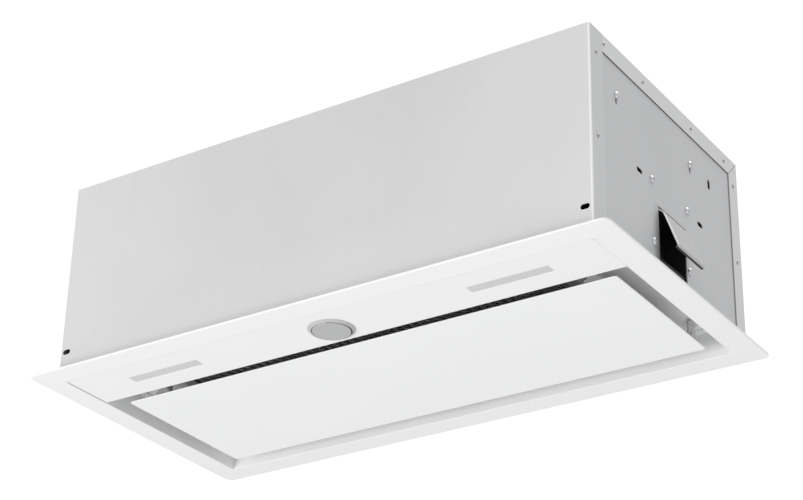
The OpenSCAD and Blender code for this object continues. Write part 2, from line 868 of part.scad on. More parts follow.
// Knob: a shallow cup with a rounded rim and a central boss
knob_z = z_fascia - knob_proud;
module knob_cap() {
    color("silver") translate([0, control_y, knob_z]) difference() {
        union() {
            rotate_extrude() difference() {
                union() {
                    translate([0, knob_edge_r]) square([knob_r, knob_depth - knob_edge_r]);
                    square([knob_r - knob_edge_r, knob_depth]);
                    translate([knob_r - knob_edge_r, knob_edge_r]) circle(r = knob_edge_r);
                }
                translate([stem_boss_r, knob_wall])
                    square([knob_r - knob_wall - stem_boss_r, knob_depth]);
            }
        }
        translate([0, 0, knob_wall]) cylinder(h = knob_depth, r = stem_r + run_gap);
    }
}

// Stem that slides in the switch and carries the knob
module knob_stem() {
    color("gray") translate([0, control_y, 0]) {
        translate([0, 0, knob_z + knob_wall + run_gap])
            cylinder(h = stem_top - knob_z - knob_wall - run_gap, r = stem_r);
        translate([0, 0, knob_z + knob_depth + run_gap]) cylinder(h = stem_collar_h, r = stem_collar_r);
    }
}

// Ring round the knob: face ring and guide tube
module knob_ring() {
    color("silver") translate([0, control_y, 0]) rotate_extrude() {
        polygon([[ring_in, z_fascia - ring_face_t], [ring_out - ring_face_t / 2, z_fascia - ring_face_t],
            [ring_out, z_fascia - ring_face_t / 2], [ring_out, z_fascia], [ring_in, z_fascia]]);
        translate([ring_in, z_fascia - ring_face_t]) square([ring_tube_t, ring_tube_h]);
    }
}

// Spindle that turns in the switch and guides the stem
module switch_spindle() {
    color("white") translate([0, control_y, switch_z - spindle_foot]) difference() {
        cylinder(h = spindle_foot + knob_travel + stem_hold, r = spindle_r);
        translate([0, 0, -cut])
            cylinder(h = spindle_foot + knob_travel + stem_hold + 2 * cut, r = stem_r + run_gap);
    }
}

module rotary_switch() {
    color([0.2, 0.2, 0.22]) difference() {
        span([-switch_w / 2, switch_w / 2], [control_y - switch_w / 2, control_y + switch_w / 2],
            [switch_z, switch_z + switch_h]);
        translate([0, control_y, switch_z - cut])
            cylinder(h = knob_travel + stem_hold + soft_gap + cut, r = spindle_r + run_gap);
        translate([0, control_y, switch_z])
            cylinder(h = knob_travel + stem_hold + switch_roof / 2, r = stem_r + run_gap);
    }
}

// Bridge that holds the switch above the fascia
module switch_bracket() {
    in_x = switch_w / 2 + bracket_gap + ring_w * 2;
    out_x = in_x + bracket_t;
    z = switch_z + switch_h;
    color("silver") for (flip = [0, 1]) mirror([flip, 0, 0])
        along_y(control_y - switch_w / 3, switch_w * 2 / 3) {
            rect_2d([0, out_x], [z, z + bracket_t]);
            rect_2d([in_x, out_x], [z_seat, z + bracket_t]);
            rect_2d([in_x, out_x + bracket_foot], [z_seat, z_seat + bracket_t]);
        }
}

// Light cover: a diffuser that drops through the fascia and rests on its flange
module light_cover() {
    color([0.86, 0.86, 0.87, 0.9]) {
        span([light_x - light_w / 2 + run_gap, light_x + light_w / 2 - run_gap],
            [light_y - light_d / 2 + run_gap, light_y + light_d / 2 - run_gap], [z_fascia, z_seat]);
        span([light_x - light_w / 2 - light_flange, light_x + light_w / 2 + light_flange],
            [light_y - light_d / 2 - light_flange, light_y + light_d / 2 + light_flange],
            [z_seat, z_seat + light_flange_t]);
    }
}

module right_light_cover() { light_cover(); }
module left_light_cover() { mirror([1, 0, 0]) light_cover(); }

// Tray above the cover, open downwards, with ledges for the light board
module light_tray() {
    x = [light_x - light_w / 2 - light_flange, light_x + light_w / 2 + light_flange];
    y = [light_y - light_d / 2 - light_flange, light_y + light_d / 2 + light_flange];
    z0 = z_seat + light_flange_t;
    board_z = z0 + board_rise;
    color("gainsboro") difference() {
        span(x, y, [z0, z0 + tray_depth]);
        span([x[0] + tray_wall, x[1] - tray_wall], [y[0] + 2 * tray_wall, y[1] - 2 * tray_wall],
            [z0 - cut, z0 + tray_depth - tray_wall]);
        span([x[0] + tray_wall, x[1] - tray_wall], [y[0] + tray_wall, y[1] - tray_wall],
            [board_z, board_z + board_t]);
    }
}

module right_light_tray() { light_tray(); }
module left_light_tray() { mirror([1, 0, 0]) light_tray(); }

// Light boards, each with a row of emitters on its underside
module light_boards() {
    led_count = floor((light_w / 2 - led_w) / led_pitch);
    board_z = z_seat + light_flange_t + board_rise;
    half_x = light_w / 2 + light_flange - tray_wall - mesh_gap / 2;
    half_y = light_d / 2 + light_flange - tray_wall - mesh_gap / 2;
    color("seagreen") for (side = [-1, 1]) translate([side * light_x, light_y, 0]) {
        span([-half_x, half_x], [-half_y, half_y], [board_z, board_z + board_t]);
        for (i = [-led_count : led_count])
            translate([i * led_pitch, 0, 0])
                span([-led_w / 2, led_w / 2], [-led_w / 2, led_w / 2], [board_z - led_h, board_z]);
    }
}

// Radius of the scroll's inner face at an angle from +Y towards +Z
function spiral_r(a) = scroll_r0 + scroll_growth * (a - tongue_angle) / (360 - tongue_angle);

// Scroll outline in Y and Z: the spiral from the tongue round to the outlet, then straight up
function scroll_outline(extra, start, top) = concat(
    [[tongue_y - extra, top]],
    [for (i = [0 : 30]) let (a = start + (360 - start) * i / 30) (spiral_r(a) + extra) * [cos(a), sin(a)]],
    [[scroll_r1 + extra, top]]);

module scroll_place() {
    translate([0, blower_y, blower_z]) children();
}

// Sheet wrapped round the scroll, with the outlet's flange
module scroll_band() {
    z = [outlet_top - outlet_flange_t, outlet_top];
    color("silver") scroll_place() difference() {
        union() {
            along_x(-scroll_hw, 2 * scroll_hw)
                polygon(scroll_outline(scroll_t, outer_start_angle, outlet_top - outlet_flange_t / 2));
            span([-scroll_out - outlet_flange, scroll_out + outlet_flange],
                [tongue_y - scroll_t - outlet_flange, scroll_r1 + scroll_t + outlet_flange], z);
        }
        along_x(-scroll_hw, 2 * scroll_hw)
            polygon(scroll_outline(0, tongue_angle, outlet_top + cut));
    }
}

// Side cheek of the scroll with its inlet
module scroll_side() {
    color("silver") scroll_place() along_x(scroll_hw, scroll_t) difference() {
        polygon(scroll_outline(scroll_t, outer_start_angle, outlet_top - outlet_flange_t));
        circle(r = inlet_r + inlet_t);
    }
}

module right_scroll_side() { scroll_side(); }
module left_scroll_side() { mirror([1, 0, 0]) scroll_side(); }

// Bell-mouthed inlets: each has a quarter-round lip on a short neck
module inlet_rings() {
    color("gray") for (flip = [0, 1]) mirror([flip, 0, 0])
        scroll_place() translate([scroll_hw, 0, 0]) rotate([0, 90, 0]) rotate_extrude() {
            translate([inlet_r, -inlet_t]) square([inlet_t, scroll_t + inlet_t]);
            translate([inlet_r + inlet_lip, scroll_t]) difference() {
                intersection() {
                    circle(r = inlet_lip);
                    translate([-inlet_lip, 0]) square([inlet_lip, inlet_lip]);
                }
                circle(r = inlet_lip - inlet_t);
            }
        }
}

// One forward-curved blade in section: its angle leads more and more towards the tip
function blade_angle(share) = blade_sweep_angle * share
    * (share * (1 - blade_root_share) + blade_root_share);
function blade_edge(offset) = [for (i = [0 : blade_steps])
    let (share = i / blade_steps, r = wheel_r - blade_depth + blade_depth * share, a = blade_angle(share))
        [r * cos(a) - offset * sin(a), r * sin(a) + offset * cos(a)]];
function flipped(list) = [for (i = [len(list) - 1 : -1 : 0]) list[i]];

// Squirrel-cage impeller: two blade rows on one central disc, an end ring on each side
module impeller_wheel() {
    color("dimgray") scroll_place() difference() {
        union() {
            along_x(-wheel_w / 2, wheel_w) for (i = [0 : blade_count - 1]) rotate(i * 360 / blade_count)
                polygon(concat(blade_edge(-blade_t / 2), flipped(blade_edge(blade_t / 2))));
            along_x(-wheel_disc_t / 2, wheel_disc_t) circle(r = wheel_r - blade_depth / 4);
            for (x0 = [-wheel_w / 2 - wheel_ring_t / 2, wheel_w / 2 - wheel_ring_t / 2])
                along_x(x0, wheel_ring_t) difference() {
                    circle(r = wheel_r + wheel_ring_t / 2);
                    circle(r = wheel_r - wheel_ring_w);
                }
            along_x(-hub_front, hub_front + hub_back) circle(r = hub_r);
        }
        along_x(-wheel_w, 2 * wheel_w) circle(r = shaft_r);
    }
}

module motor_shaft() {
    color("silver") scroll_place()
        along_x(-motor_rear - shaft_tail, motor_rear + shaft_tail + hub_back) circle(r = shaft_r);
}

// Motor can with cooling grooves along it and a bearing boss in front
module motor_body() {
    color("slategray") scroll_place() difference() {
        union() {
            along_x(-motor_front - motor_l, motor_l) difference() {
                circle(r = motor_r);
                for (i = [0 : motor_fin_count - 1]) rotate(i * 360 / motor_fin_count)
                    translate([motor_r - motor_fin_depth, -motor_fin_w / 2])
                        square([2 * motor_fin_depth, motor_fin_w]);
            }
            along_x(-motor_front, motor_boss_h) circle(r = motor_boss_r);
        }
        along_x(-motor_rear, motor_rear) circle(r = shaft_r + run_gap);
    }
}

module motor_end_cap() {
    color("gray") scroll_place() difference() {
        union() {
            along_x(-motor_rear + motor_cap_lip, motor_cap_l - motor_cap_lip) circle(r = motor_r);
            along_x(-motor_rear, motor_cap_lip) circle(r = motor_r - motor_cap_lip);
        }
        along_x(-motor_rear - cut, motor_cap_l + 2 * cut) circle(r = shaft_r + run_gap);
    }
}

// Three-armed bracket that hangs the motor in the left inlet
function mount_angle(i) = mount_start_angle + i * 120;
module motor_bracket() {
    color("silver") scroll_place() along_x(-motor_rear - bracket_arm_t, bracket_arm_t) difference() {
        union() {
            circle(r = bracket_hub_r);
            for (i = [0 : 2]) rotate(mount_angle(i)) translate([mount_circle_r / 2, 0])
                slot_2d(mount_circle_r + bracket_arm_w, bracket_arm_w);
        }
        circle(r = motor_boss_r);
    }
}

module rubber_mounts() {
    color([0.1, 0.1, 0.1]) scroll_place() for (i = [0 : 2]) rotate([mount_angle(i), 0, 0])
        bar_x(-motor_rear, -scroll_out, mount_circle_r, 0, mount_r);
}

// Screws round the collar's flange
function collar_screw_places() = [for (i = [0 : 3]) let (a = 45 + 90 * i, r = collar_r + collar_screw_inset)
    [r * cos(a), collar_y + r * sin(a)]];

// Flange that clamps the duct collar to the top plate
module collar_flange() {
    color([0.2, 0.2, 0.22]) translate([0, 0, body_h]) linear_extrude(collar_flange_t) difference() {
        translate([0, collar_y]) circle(r = collar_r + collar_flange_w);
        translate([0, collar_y]) circle(r = collar_in);
        for (p = collar_screw_places()) translate(p) circle(r = collar_screw_r);
    }
}

// Duct collar: a tube on the flange, a ledge for the flaps and two bosses for their pin
module outlet_collar() {
    color([0.22, 0.22, 0.24]) difference() {
        translate([0, collar_y, body_h + collar_flange_t])
            cylinder(h = collar_h - collar_flange_t, r = collar_r);
        translate([0, collar_y, 0]) difference() {
            translate([0, 0, body_h - cut]) cylinder(h = collar_h + 2 * cut, r = collar_in);
            translate([0, 0, flap_z - flap_t / 2 - soft_gap - collar_ledge_t]) difference() {
                cylinder(h = collar_ledge_t, r = collar_r);
                translate([0, 0, -cut]) cylinder(h = collar_ledge_t + 2 * cut, r = collar_in - collar_ledge);
            }
            for (x = [-collar_in, collar_in - collar_boss_l])
                bar_x(x, x + collar_boss_l, 0, flap_z, collar_boss_r);
        }
        bar_x(-collar_r - cut, collar_r + cut, collar_y, flap_z, flap_pin_r);
    }
}

module collar_screws() {
    color("silver") for (p = collar_screw_places()) translate([p[0], p[1], body_h + collar_flange_t]) {
        cylinder(h = collar_screw_head_h, r1 = collar_screw_head_r, r2 = collar_screw_head_r / 2);
        translate([0, 0, -collar_flange_t - collar_screw_l])
            cylinder(h = collar_flange_t + collar_screw_l, r = collar_screw_r);
    }
}

module flap_pin() {
    color("silver") bar_x(-collar_r + collar_t / 2, collar_r - collar_t / 2, collar_y, flap_z, flap_pin_r);
}

// A back-draught flap: half a disc with knuckles round the pin, the first pair nearer one end
module flap(shift) {
    flap_end_x = collar_in - collar_boss_l - 2 * soft_gap;
    knuckles = [-collar_in / 2 - flap_knuckle_l / 2 + shift, collar_in / 2 - flap_knuckle_l / 2 + shift];
    color([0.3, 0.3, 0.32]) difference() {
        union() {
            translate([0, 0, flap_z - flap_t / 2]) linear_extrude(flap_t) intersection() {
                circle(r = flap_r);
                translate([-flap_r, flap_offset]) square([2 * flap_r, flap_r]);
                rect_2d([-flap_end_x, flap_end_x], [0, flap_r]);
            }
            for (x = knuckles) {
                bar_x(x, x + flap_knuckle_l, 0, flap_z, flap_knuckle_r);
                span([x, x + flap_knuckle_l], [0, flap_offset + flap_t],
                    [flap_z - flap_t / 2, flap_z + flap_t / 2]);
            }
        }
        bar_x(-collar_r, collar_r, 0, flap_z, flap_pin_r + run_gap);
    }
}

module rear_flap() { translate([0, collar_y, 0]) flap(flap_knuckle_l / 2 + soft_gap); }
module front_flap() { translate([0, collar_y, 0]) mirror([0, 1, 0]) flap(-flap_knuckle_l / 2 - soft_gap); }

// Control box: a shell open at the bottom, its cover, its board
box_span_x = [box_x, box_x + box_w];
box_span_y = [box_y, box_y + box_d];
box_inner_x = box_span_x + [box_t + soft_gap, -box_t - soft_gap];
box_inner_y = box_span_y + [box_t + soft_gap, -box_t - soft_gap];
box_low = top_in - box_h;

module control_box() {
    color([0.25, 0.25, 0.27]) difference() {
        span(box_span_x, box_span_y, [box_low, top_in]);
        span(box_span_x + [box_t, -box_t], box_span_y + [box_t, -box_t], [box_low - cut, top_in - box_t]);
    }
}

module control_box_cover() {
    color([0.3, 0.3, 0.32]) {
        span(box_span_x, box_span_y, [box_low - box_cover_t, box_low]);
        span(box_inner_x, box_inner_y, [box_low, box_low + box_cover_t]);
    }
}

module control_board() {
    z = box_low + box_board_rise;
    color("seagreen") {
        span(box_inner_x, box_inner_y, [z, z + board_t]);
        for (sx = board_part_shares, sy = board_part_shares)
            span([box_inner_x[0] + sx * box_w, box_inner_x[0] + (sx + board_part_w_share) * box_w],
                [box_inner_y[0] + sy * box_d, box_inner_y[0] + (sy + board_part_w_share) * box_d],
                [z + board_t, z + board_t + box_part_h]);
        for (y = [box_inner_y[0], box_inner_y[1] - box_t])
            span([box_inner_x[0], box_inner_x[0] + box_t], [y, y + box_t], [box_low + box_cover_t, z]);
    }
}

// Motor capacitor on its foot under the box cover
module capacitor() {
    x0 = box_x + (box_w - cap_l) / 2;
    y = box_y + box_d / 2;
    z = box_low - box_cover_t - cap_foot_h - cap_r;
    color("whitesmoke") {
        bar_x(x0, x0 + cap_l, y, z, cap_r);
        span([x0, x0 + cap_l], [y - cap_foot_w / 2, y + cap_foot_w / 2],
            [z + cap_r / 2, box_low - box_cover_t]);
    }
}

// Cable gland in the top plate: body, hexagon above the plate, lock nut below
module cable_gland() {
    color([0.12, 0.12, 0.13]) translate([gland_x, gland_y, 0]) difference() {
        union() {
            translate([0, 0, top_in - gland_tail])
                cylinder(h = gland_tail + sheet_t + gland_h, r = gland_body_r - run_gap);
            translate([0, 0, body_h]) cylinder(h = gland_hex_h, r = gland_hex_r, $fn = 6);
            translate([0, 0, top_in - gland_hex_h]) cylinder(h = gland_hex_h, r = gland_hex_r, $fn = 6);
            translate([0, 0, body_h + gland_hex_h])
                cylinder(h = gland_h - gland_hex_h, r = gland_dome_r);
        }
        translate([0, 0, top_in - gland_tail - cut])
            cylinder(h = gland_tail + sheet_t + gland_h + 2 * cut, r = gland_r);
    }
}

// Straight and bent lengths of lead. A bend turns a quarter about its centre, in one of three planes
module wire_x(x0, x1, y, z) {
    bar_x(x0, x1, y, z, wire_r);
}

module wire_y(x, y0, y1, z) {
    translate([x, y1, z]) rotate([90, 0, 0]) cylinder(h = y1 - y0, r = wire_r);
}

module wire_z(x, y, z0, z1) {
    translate([x, y, z0]) cylinder(h = z1 - z0, r = wire_r);
}

module wire_bend(centre, plane, quarter_angle) {
    translate(centre) rotate(plane) rotate([0, 0, quarter_angle])
        rotate_extrude(angle = 90) translate([wire_turn_r, 0]) circle(r = wire_r);
}

// A lead that rises at x and y to the control box and turns back into its front face
module rising_lead(x, y, z0) {
    lead_z = box_low + box_h / 2;
    wire_z(x, y, z0, lead_z - wire_turn_r);
    wire_bend([x, y + wire_turn_r, lead_z - wire_turn_r], [90, 0, 90], 90);
    wire_y(x, y + wire_turn_r, box_y, lead_z);
}

// Leads from the motor, the two lights and the switch to the control box
module wiring_loom() {
    lead_z = box_low + box_h / 2;
    motor_z = blower_z + motor_lead_rise;
    light_top = z_seat + light_flange_t + tray_depth;
    switch_y = control_y + switch_lead_back;
    turn = wire_turn_r;
    color("black") {
        wire_x(-motor_rear - motor_lead_run + turn, -motor_rear, blower_y, motor_z);
        wire_bend([-motor_rear - motor_lead_run + turn, blower_y, motor_z + turn], [90, 0, 0], 180);
        wire_z(-motor_rear - motor_lead_run, blower_y, motor_z + turn, lead_z - turn);
        wire_bend([-motor_rear - motor_lead_run - turn, blower_y, lead_z - turn], [90, 0, 0], 0);
        wire_x(box_x + box_w, -motor_rear - motor_lead_run - turn, blower_y, lead_z);

        rising_lead(-light_x, light_y, light_top);

        wire_z(light_x, light_y, light_top, right_lead_z - turn);
        wire_bend([light_x - turn, light_y, right_lead_z - turn], [90, 0, 0], 0);
        wire_x(right_lead_x + turn, light_x - turn, light_y, right_lead_z);
        wire_bend([right_lead_x + turn, light_y, right_lead_z + turn], [90, 0, 0], 180);
        rising_lead(right_lead_x, light_y, right_lead_z + turn);

        wire_x(switch_lead_x + turn, -switch_w / 2, switch_y, switch_z + switch_lead_rise);
        wire_bend([switch_lead_x + turn, switch_y, switch_z + switch_lead_rise + turn], [90, 0, 0], 180);
        rising_lead(switch_lead_x, switch_y, switch_z + switch_lead_rise + turn);
    }
}

front_wall();
top_plate();
rear_wall();
left_side_panel();
right_side_panel();
casing_rivets();
side_screws();
hanger_brackets();
left_wing_plate();
right_wing_plate();
left_wing();
right_wing();
left_wing_pocket();
right_wing_pocket();
trim_frame();
filter_deck();
deck_screws();
panel_face();
panel_tray();
hinge_brackets();
hinge_pins();
panel_catches();
filter_frame();
filter_mesh();
filter_latch();
latch_keeper();
filter_holders();
knob_cap();
knob_stem();
knob_ring();
switch_spindle();
rotary_switch();
switch_bracket();
left_light_cover();
right_light_cover();
left_light_tray();
right_light_tray();
light_boards();
scroll_band();
left_scroll_side();
right_scroll_side();
inlet_rings();
impeller_wheel();
motor_shaft();
motor_body();
motor_end_cap();
motor_bracket();
rubber_mounts();
collar_flange();
outlet_collar();
collar_screws();
flap_pin();
front_flap();
rear_flap();
control_box();
control_box_cover();
control_board();
capacitor();
cable_gland();
wiring_loom();
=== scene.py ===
import math

import bmesh
import bpy
from mathutils import Matrix, Vector


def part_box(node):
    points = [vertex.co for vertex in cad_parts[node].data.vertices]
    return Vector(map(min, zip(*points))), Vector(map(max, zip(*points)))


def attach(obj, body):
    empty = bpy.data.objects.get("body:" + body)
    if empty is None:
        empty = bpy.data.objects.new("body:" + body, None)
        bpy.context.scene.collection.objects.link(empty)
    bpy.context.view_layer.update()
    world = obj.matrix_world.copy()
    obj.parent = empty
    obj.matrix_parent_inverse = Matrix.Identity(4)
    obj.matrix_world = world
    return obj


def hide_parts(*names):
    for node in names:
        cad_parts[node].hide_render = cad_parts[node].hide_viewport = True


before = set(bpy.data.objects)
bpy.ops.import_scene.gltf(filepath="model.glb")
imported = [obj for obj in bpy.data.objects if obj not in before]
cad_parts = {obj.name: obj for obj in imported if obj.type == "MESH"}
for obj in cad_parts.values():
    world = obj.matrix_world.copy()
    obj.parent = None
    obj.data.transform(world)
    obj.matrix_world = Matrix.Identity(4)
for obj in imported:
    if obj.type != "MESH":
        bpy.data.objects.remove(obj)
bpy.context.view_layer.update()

# ---------------------------------------------------------------- room, light and camera
# The hood hangs high over a pale studio floor and is seen from below, as under a kitchen cabinet.
# The room is a white cyclorama: an even dome of light, a broad key from the front left, a low fill
# from the right and a softbox overhead.
# The camera stands to the right in front of the hood, below it, and looks up.
bpy.context.scene.view_settings.view_transform = "Standard"

camera = bpy.data.objects.new("camera", bpy.data.cameras.new("camera"))
bpy.context.collection.objects.link(camera)
photo_width, focal_px, sensor = 803, 2090.4, 36
camera.data.sensor_width = sensor
camera.data.lens = sensor * focal_px / photo_width
camera.data.clip_start, camera.data.clip_end = 0.05, 60
azimuth, rise, roll = math.radians(33.969), math.radians(27.338), math.radians(1.375)
ahead = Vector((-math.sin(azimuth) * math.cos(rise), math.cos(azimuth) * math.cos(rise), math.sin(rise)))
level = ahead.cross(Vector((0, 0, 1))).normalized()
over = level.cross(ahead)
across = level * math.cos(roll) + over * math.sin(roll)
upward = over * math.cos(roll) - level * math.sin(roll)
standing = Vector((0.9631, -1.4253, -0.7694))
camera.matrix_world = Matrix.Translation(standing) @ Matrix((across, upward, -ahead)).transposed().to_4x4()
bpy.context.scene.camera = camera

room = bpy.data.worlds.new("studio")
bpy.context.scene.world = room
room.use_nodes = True
dome = room.node_tree.nodes["Background"]
dome.inputs["Color"].default_value = (0.98, 0.985, 0.99, 1)
dome.inputs["Strength"].default_value = 0.70
backdrop = room.node_tree.nodes.new("ShaderNodeBackground")
backdrop.inputs["Color"].default_value = (1, 1, 1, 1)
backdrop.inputs["Strength"].default_value = 1.05
either = room.node_tree.nodes.new("ShaderNodeMixShader")
ray = room.node_tree.nodes.new("ShaderNodeLightPath")
room.node_tree.links.new(ray.outputs["Is Camera Ray"], either.inputs["Fac"])
room.node_tree.links.new(dome.outputs["Background"], either.inputs[1])
room.node_tree.links.new(backdrop.outputs["Background"], either.inputs[2])
room.node_tree.links.new(either.outputs["Shader"], room.node_tree.nodes["World Output"].inputs["Surface"])

hood_middle = Vector((0, 0, 0.05))


def soft_light(name, place, size, power, tint):
    """A square softbox that faces the hood."""
    lamp = bpy.data.objects.new(name, bpy.data.lights.new(name, "AREA"))
    bpy.context.collection.objects.link(lamp)
    lamp.data.shape = "SQUARE"
    lamp.data.size = size
    lamp.data.energy = power
    lamp.data.color = tint
    lamp.location = place
    lamp.rotation_euler = (hood_middle - Vector(place)).to_track_quat("-Z", "Y").to_euler()


soft_light("key", (-1.3, -2.6, -1.5), 1.6, 56, (1.0, 0.985, 0.96))
soft_light("fill", (1.9, -1.6, -2.4), 1.8, 16, (0.96, 0.98, 1.0))
soft_light("top", (0.6, 0.8, 2.6), 2.0, 38, (1.0, 1.0, 1.0))


# ---------------------------------------------------------------- casing
# Five sheets of light grey coated steel, 1 mm thick, cut, punched and folded on a brake, so their
# outer corners are small radii and their cut edges are sharp. The top and rear sheets have strips
# that fold over the sides.
class Link:
    """The output of a node in a material. Arithmetic on it adds Math nodes."""

    def __init__(self, socket):
        self.socket = socket

    def node(self, kind, settings=None, sockets=None, output=0):
        """A new node, set up and wired, as the output asked for."""
        tree = self.socket.id_data
        made = tree.nodes.new(kind)
        for name, value in (settings or {}).items():
            setattr(made, name, value)
        for name, value in (sockets or {}).items():
            if isinstance(value, Link):
                tree.links.new(value.socket, made.inputs[name])
            else:
                made.inputs[name].default_value = value
        return Link(made.outputs[output])

    def maths(self, operation, first, second):
        """One Math node on two values or links."""
        return self.node("ShaderNodeMath", {"operation": operation}, {0: first, 1: second})

    def __add__(self, other):
        return self.maths("ADD", self, other)

    def __sub__(self, other):
        return self.maths("SUBTRACT", self, other)

    def __rsub__(self, other):
        return self.maths("SUBTRACT", other, self)

    def __mul__(self, other):
        return self.maths("MULTIPLY", self, other)

    def __gt__(self, other):
        return self.maths("GREATER_THAN", self, other)

    def __lt__(self, other):
        return self.maths("LESS_THAN", self, other)

    __radd__, __rmul__ = __add__, __mul__

    def near(self, value, reach):
        """1 where this is within reach of the value, else 0."""
        return self.node("ShaderNodeMath", {"operation": "COMPARE"}, {0: self, 1: value, 2: reach})

    def axes(self):
        """The X, Y and Z of this vector."""
        split = self.node("ShaderNodeSeparateXYZ", None, {"Vector": self}).socket.node
        return [Link(output) for output in split.outputs]

    def noise(self, scale, detail=3, stretch=(1, 1, 1)):
        """Noise from 0 to 1 over this vector, with scale in spots a metre."""
        place = self.node("ShaderNodeVectorMath", {"operation": "MULTIPLY"}, {0: self, 1: stretch})
        return self.node("ShaderNodeTexNoise", None, {"Vector": place, "Scale": scale, "Detail": detail})

    def between(self, low, high):
        """Two colours mixed by this value."""
        return self.node("ShaderNodeMix", {"data_type": "RGBA"},
                         {0: self, 6: (*low, 1) if not isinstance(low, Link) else low,
                          7: (*high, 1) if not isinstance(high, Link) else high}, 2)

    def ramp(self, low, high):
        """This value from low to high stretched to 0 to 1."""
        return self.node("ShaderNodeMapRange", None,
                         {"Value": self, "From Min": low, "From Max": high})


def new_finish(name, **sockets):
    """A material with its constants set. Returns it, its shader, and its place on the object."""
    finish = bpy.data.materials.new(name)
    finish.use_nodes = True
    shader = finish.node_tree.nodes["Principled BSDF"]
    for socket, value in sockets.items():
        shader.inputs[socket.replace("_", " ")].default_value = value
    place = Link(finish.node_tree.nodes.new("ShaderNodeTexCoord").outputs["Object"])
    return finish, shader, place


def wire(shader, **sockets):
    """Links values to the shader's sockets."""
    for socket, value in sockets.items():
        shader.id_data.links.new(value.socket, shader.inputs[socket.replace("_", " ")])


def relief(height, strength, depth):
    """A bump from a height between 0 and 1, and its depth in metres."""
    return height.node("ShaderNodeBump", None, {"Height": height, "Strength": strength, "Distance": depth})


casing_low, casing_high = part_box("front_wall")
half_width, front_y, return_y = casing_high.x, casing_low.y, casing_high.y
strip_z, strip_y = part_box("top_plate")[0].z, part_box("rear_wall")[0].y
fold_radius = 0.0015
wing_low, wing_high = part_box("right_wing")
window_front, window_top = wing_low.y - 0.0005, 0.0775
window_y, window_half = (wing_low.y + wing_high.y) / 2, 0.0255


def sheet_finish(name, dark, light):
    """Coated sheet with its marks, each a place on the casing: a painted highlight on the front folds;
    painted shade in the laps under and behind the strips, at their mitre and in the slit over the
    wing's window; a painted shadow on the side in front of the window. The front wall is painted
    lighter at its ends and foot, as painted light."""
    finish, shader, place = new_finish(name, Metallic=0.15, Coat_Weight=0.1, Coat_Roughness=0.35)
    mottle = place.noise(9, 4)
    grain = place.noise(1500, 2)
    rolling = place.noise(420, 3, (1, 1, 0.02))
    tone = mottle * 0.5 + rolling * 0.25 + grain * 0.25
    x, y, z = place.axes()
    out = x.maths("ABSOLUTE", x, 0.0)
    side = out > half_width - fold_radius - 0.0001
    # A painted highlight along the front folds.
    fold = side * (y < front_y + fold_radius - 0.0001)
    # Painted shade in the laps under and behind the strips, at their mitre, and in the slit over the wing's
    # window.
    below = side * (y > return_y) * (z < strip_z + 0.0001) * (z > strip_z - 0.0002) * (y < strip_y)
    behind = side * (y > strip_y - 0.0003) * (y < strip_y + 0.0002) * (z < strip_z)
    mitre = side * (z > strip_z) * (y > strip_y) * ((y - z) - (strip_y - strip_z)).near(0.0, 0.0004)
    slit = side * (z > window_top - 0.0012) * (z < window_top + 0.0003) * y.near(window_y, window_half)
    # A painted shadow on the side in front of the wing's window, deepest low down.
    beside = window_front - y
    shadow = side * (beside > 0.0) * (1.0 - beside.ramp(0.0, 0.012))
    shadow = shadow * z.near(0.052, 0.026) * (1.0 - z.ramp(0.03, 0.09))
    lap = below + mitre + slit
    plain = shadow.between(tone.ramp(0.3, 0.7).between(dark, light), (0.1, 0.1, 0.1))
    # Painted light: the front wall is lighter towards its ends and its foot.
    outer = y < front_y + 0.0003
    painted_sheen = outer * out.maths("MAXIMUM", out.ramp(0.1, 0.27), 1.0 - z.ramp(0.0, 0.07))
    gain = 1.08
    lit = tone.ramp(0.3, 0.7).between([c * gain for c in dark], [c * gain for c in light])
    fold_highlight_colour, lap_shade_colour, rear_lap_shade = (0.92, 0.92, 0.925), (0.11, 0.11, 0.115), (0.33, 0.33, 0.335)
    bright = behind.between(fold.between(painted_sheen.between(plain, lit), fold_highlight_colour), rear_lap_shade)
    wire(shader, Base_Color=lap.between(bright, lap_shade_colour), Roughness=tone * 0.12 + 0.4,
         Normal=relief(grain * 0.5 + mottle * 0.5, 0.12, 0.0002))
    return finish


coated_sheet = sheet_finish("coated_sheet", (0.60, 0.602, 0.606), (0.65, 0.652, 0.656))
lapped_sheet = sheet_finish("lapped_sheet", (0.675, 0.677, 0.681), (0.725, 0.727, 0.731))
side_sheet = sheet_finish("side_sheet", (0.565, 0.567, 0.572), (0.612, 0.614, 0.619))


def pick(*pieces):
    """Selects these pieces alone. The last is active."""
    bpy.ops.object.select_all(action="DESELECT")
    for piece in pieces:
        piece.select_set(True)
        bpy.context.view_layer.objects.active = piece


def choose(piece, test, kind="EDGE"):
    """In edit mode, selects the faces or edges whose middle and direction pass the test."""
    bpy.ops.mesh.select_mode(type=kind)
    bpy.ops.mesh.select_all(action="DESELECT")
    shape = bmesh.from_edit_mesh(piece.data)
    if kind == "FACE":
        for face in shape.faces:
            face.select_set(bool(test(face.calc_center_median(), face.normal)))
    else:
        for edge in shape.edges:
            ends = edge.verts[0].co, edge.verts[1].co
            if test((ends[0] + ends[1]) / 2, (ends[1] - ends[0]).normalized()):
                edge.select_set(True)
    shape.select_flush_mode()
    bmesh.update_edit_mesh(piece.data)


def ease(piece, width, steps, corner=40):
    """Eases every edge sharper than the corner angle, by a bevel."""
    pick(piece)
    bevel = piece.modifiers.new("ease", "BEVEL")
    bevel.width, bevel.segments = width, steps
    bevel.limit_method, bevel.angle_limit = "ANGLE", math.radians(corner)
    bevel.use_clamp_overlap = False
    bevel.miter_outer = "MITER_ARC"
    bevel.face_strength_mode = "FSTR_ALL"
    bpy.ops.object.modifier_apply(modifier="ease")


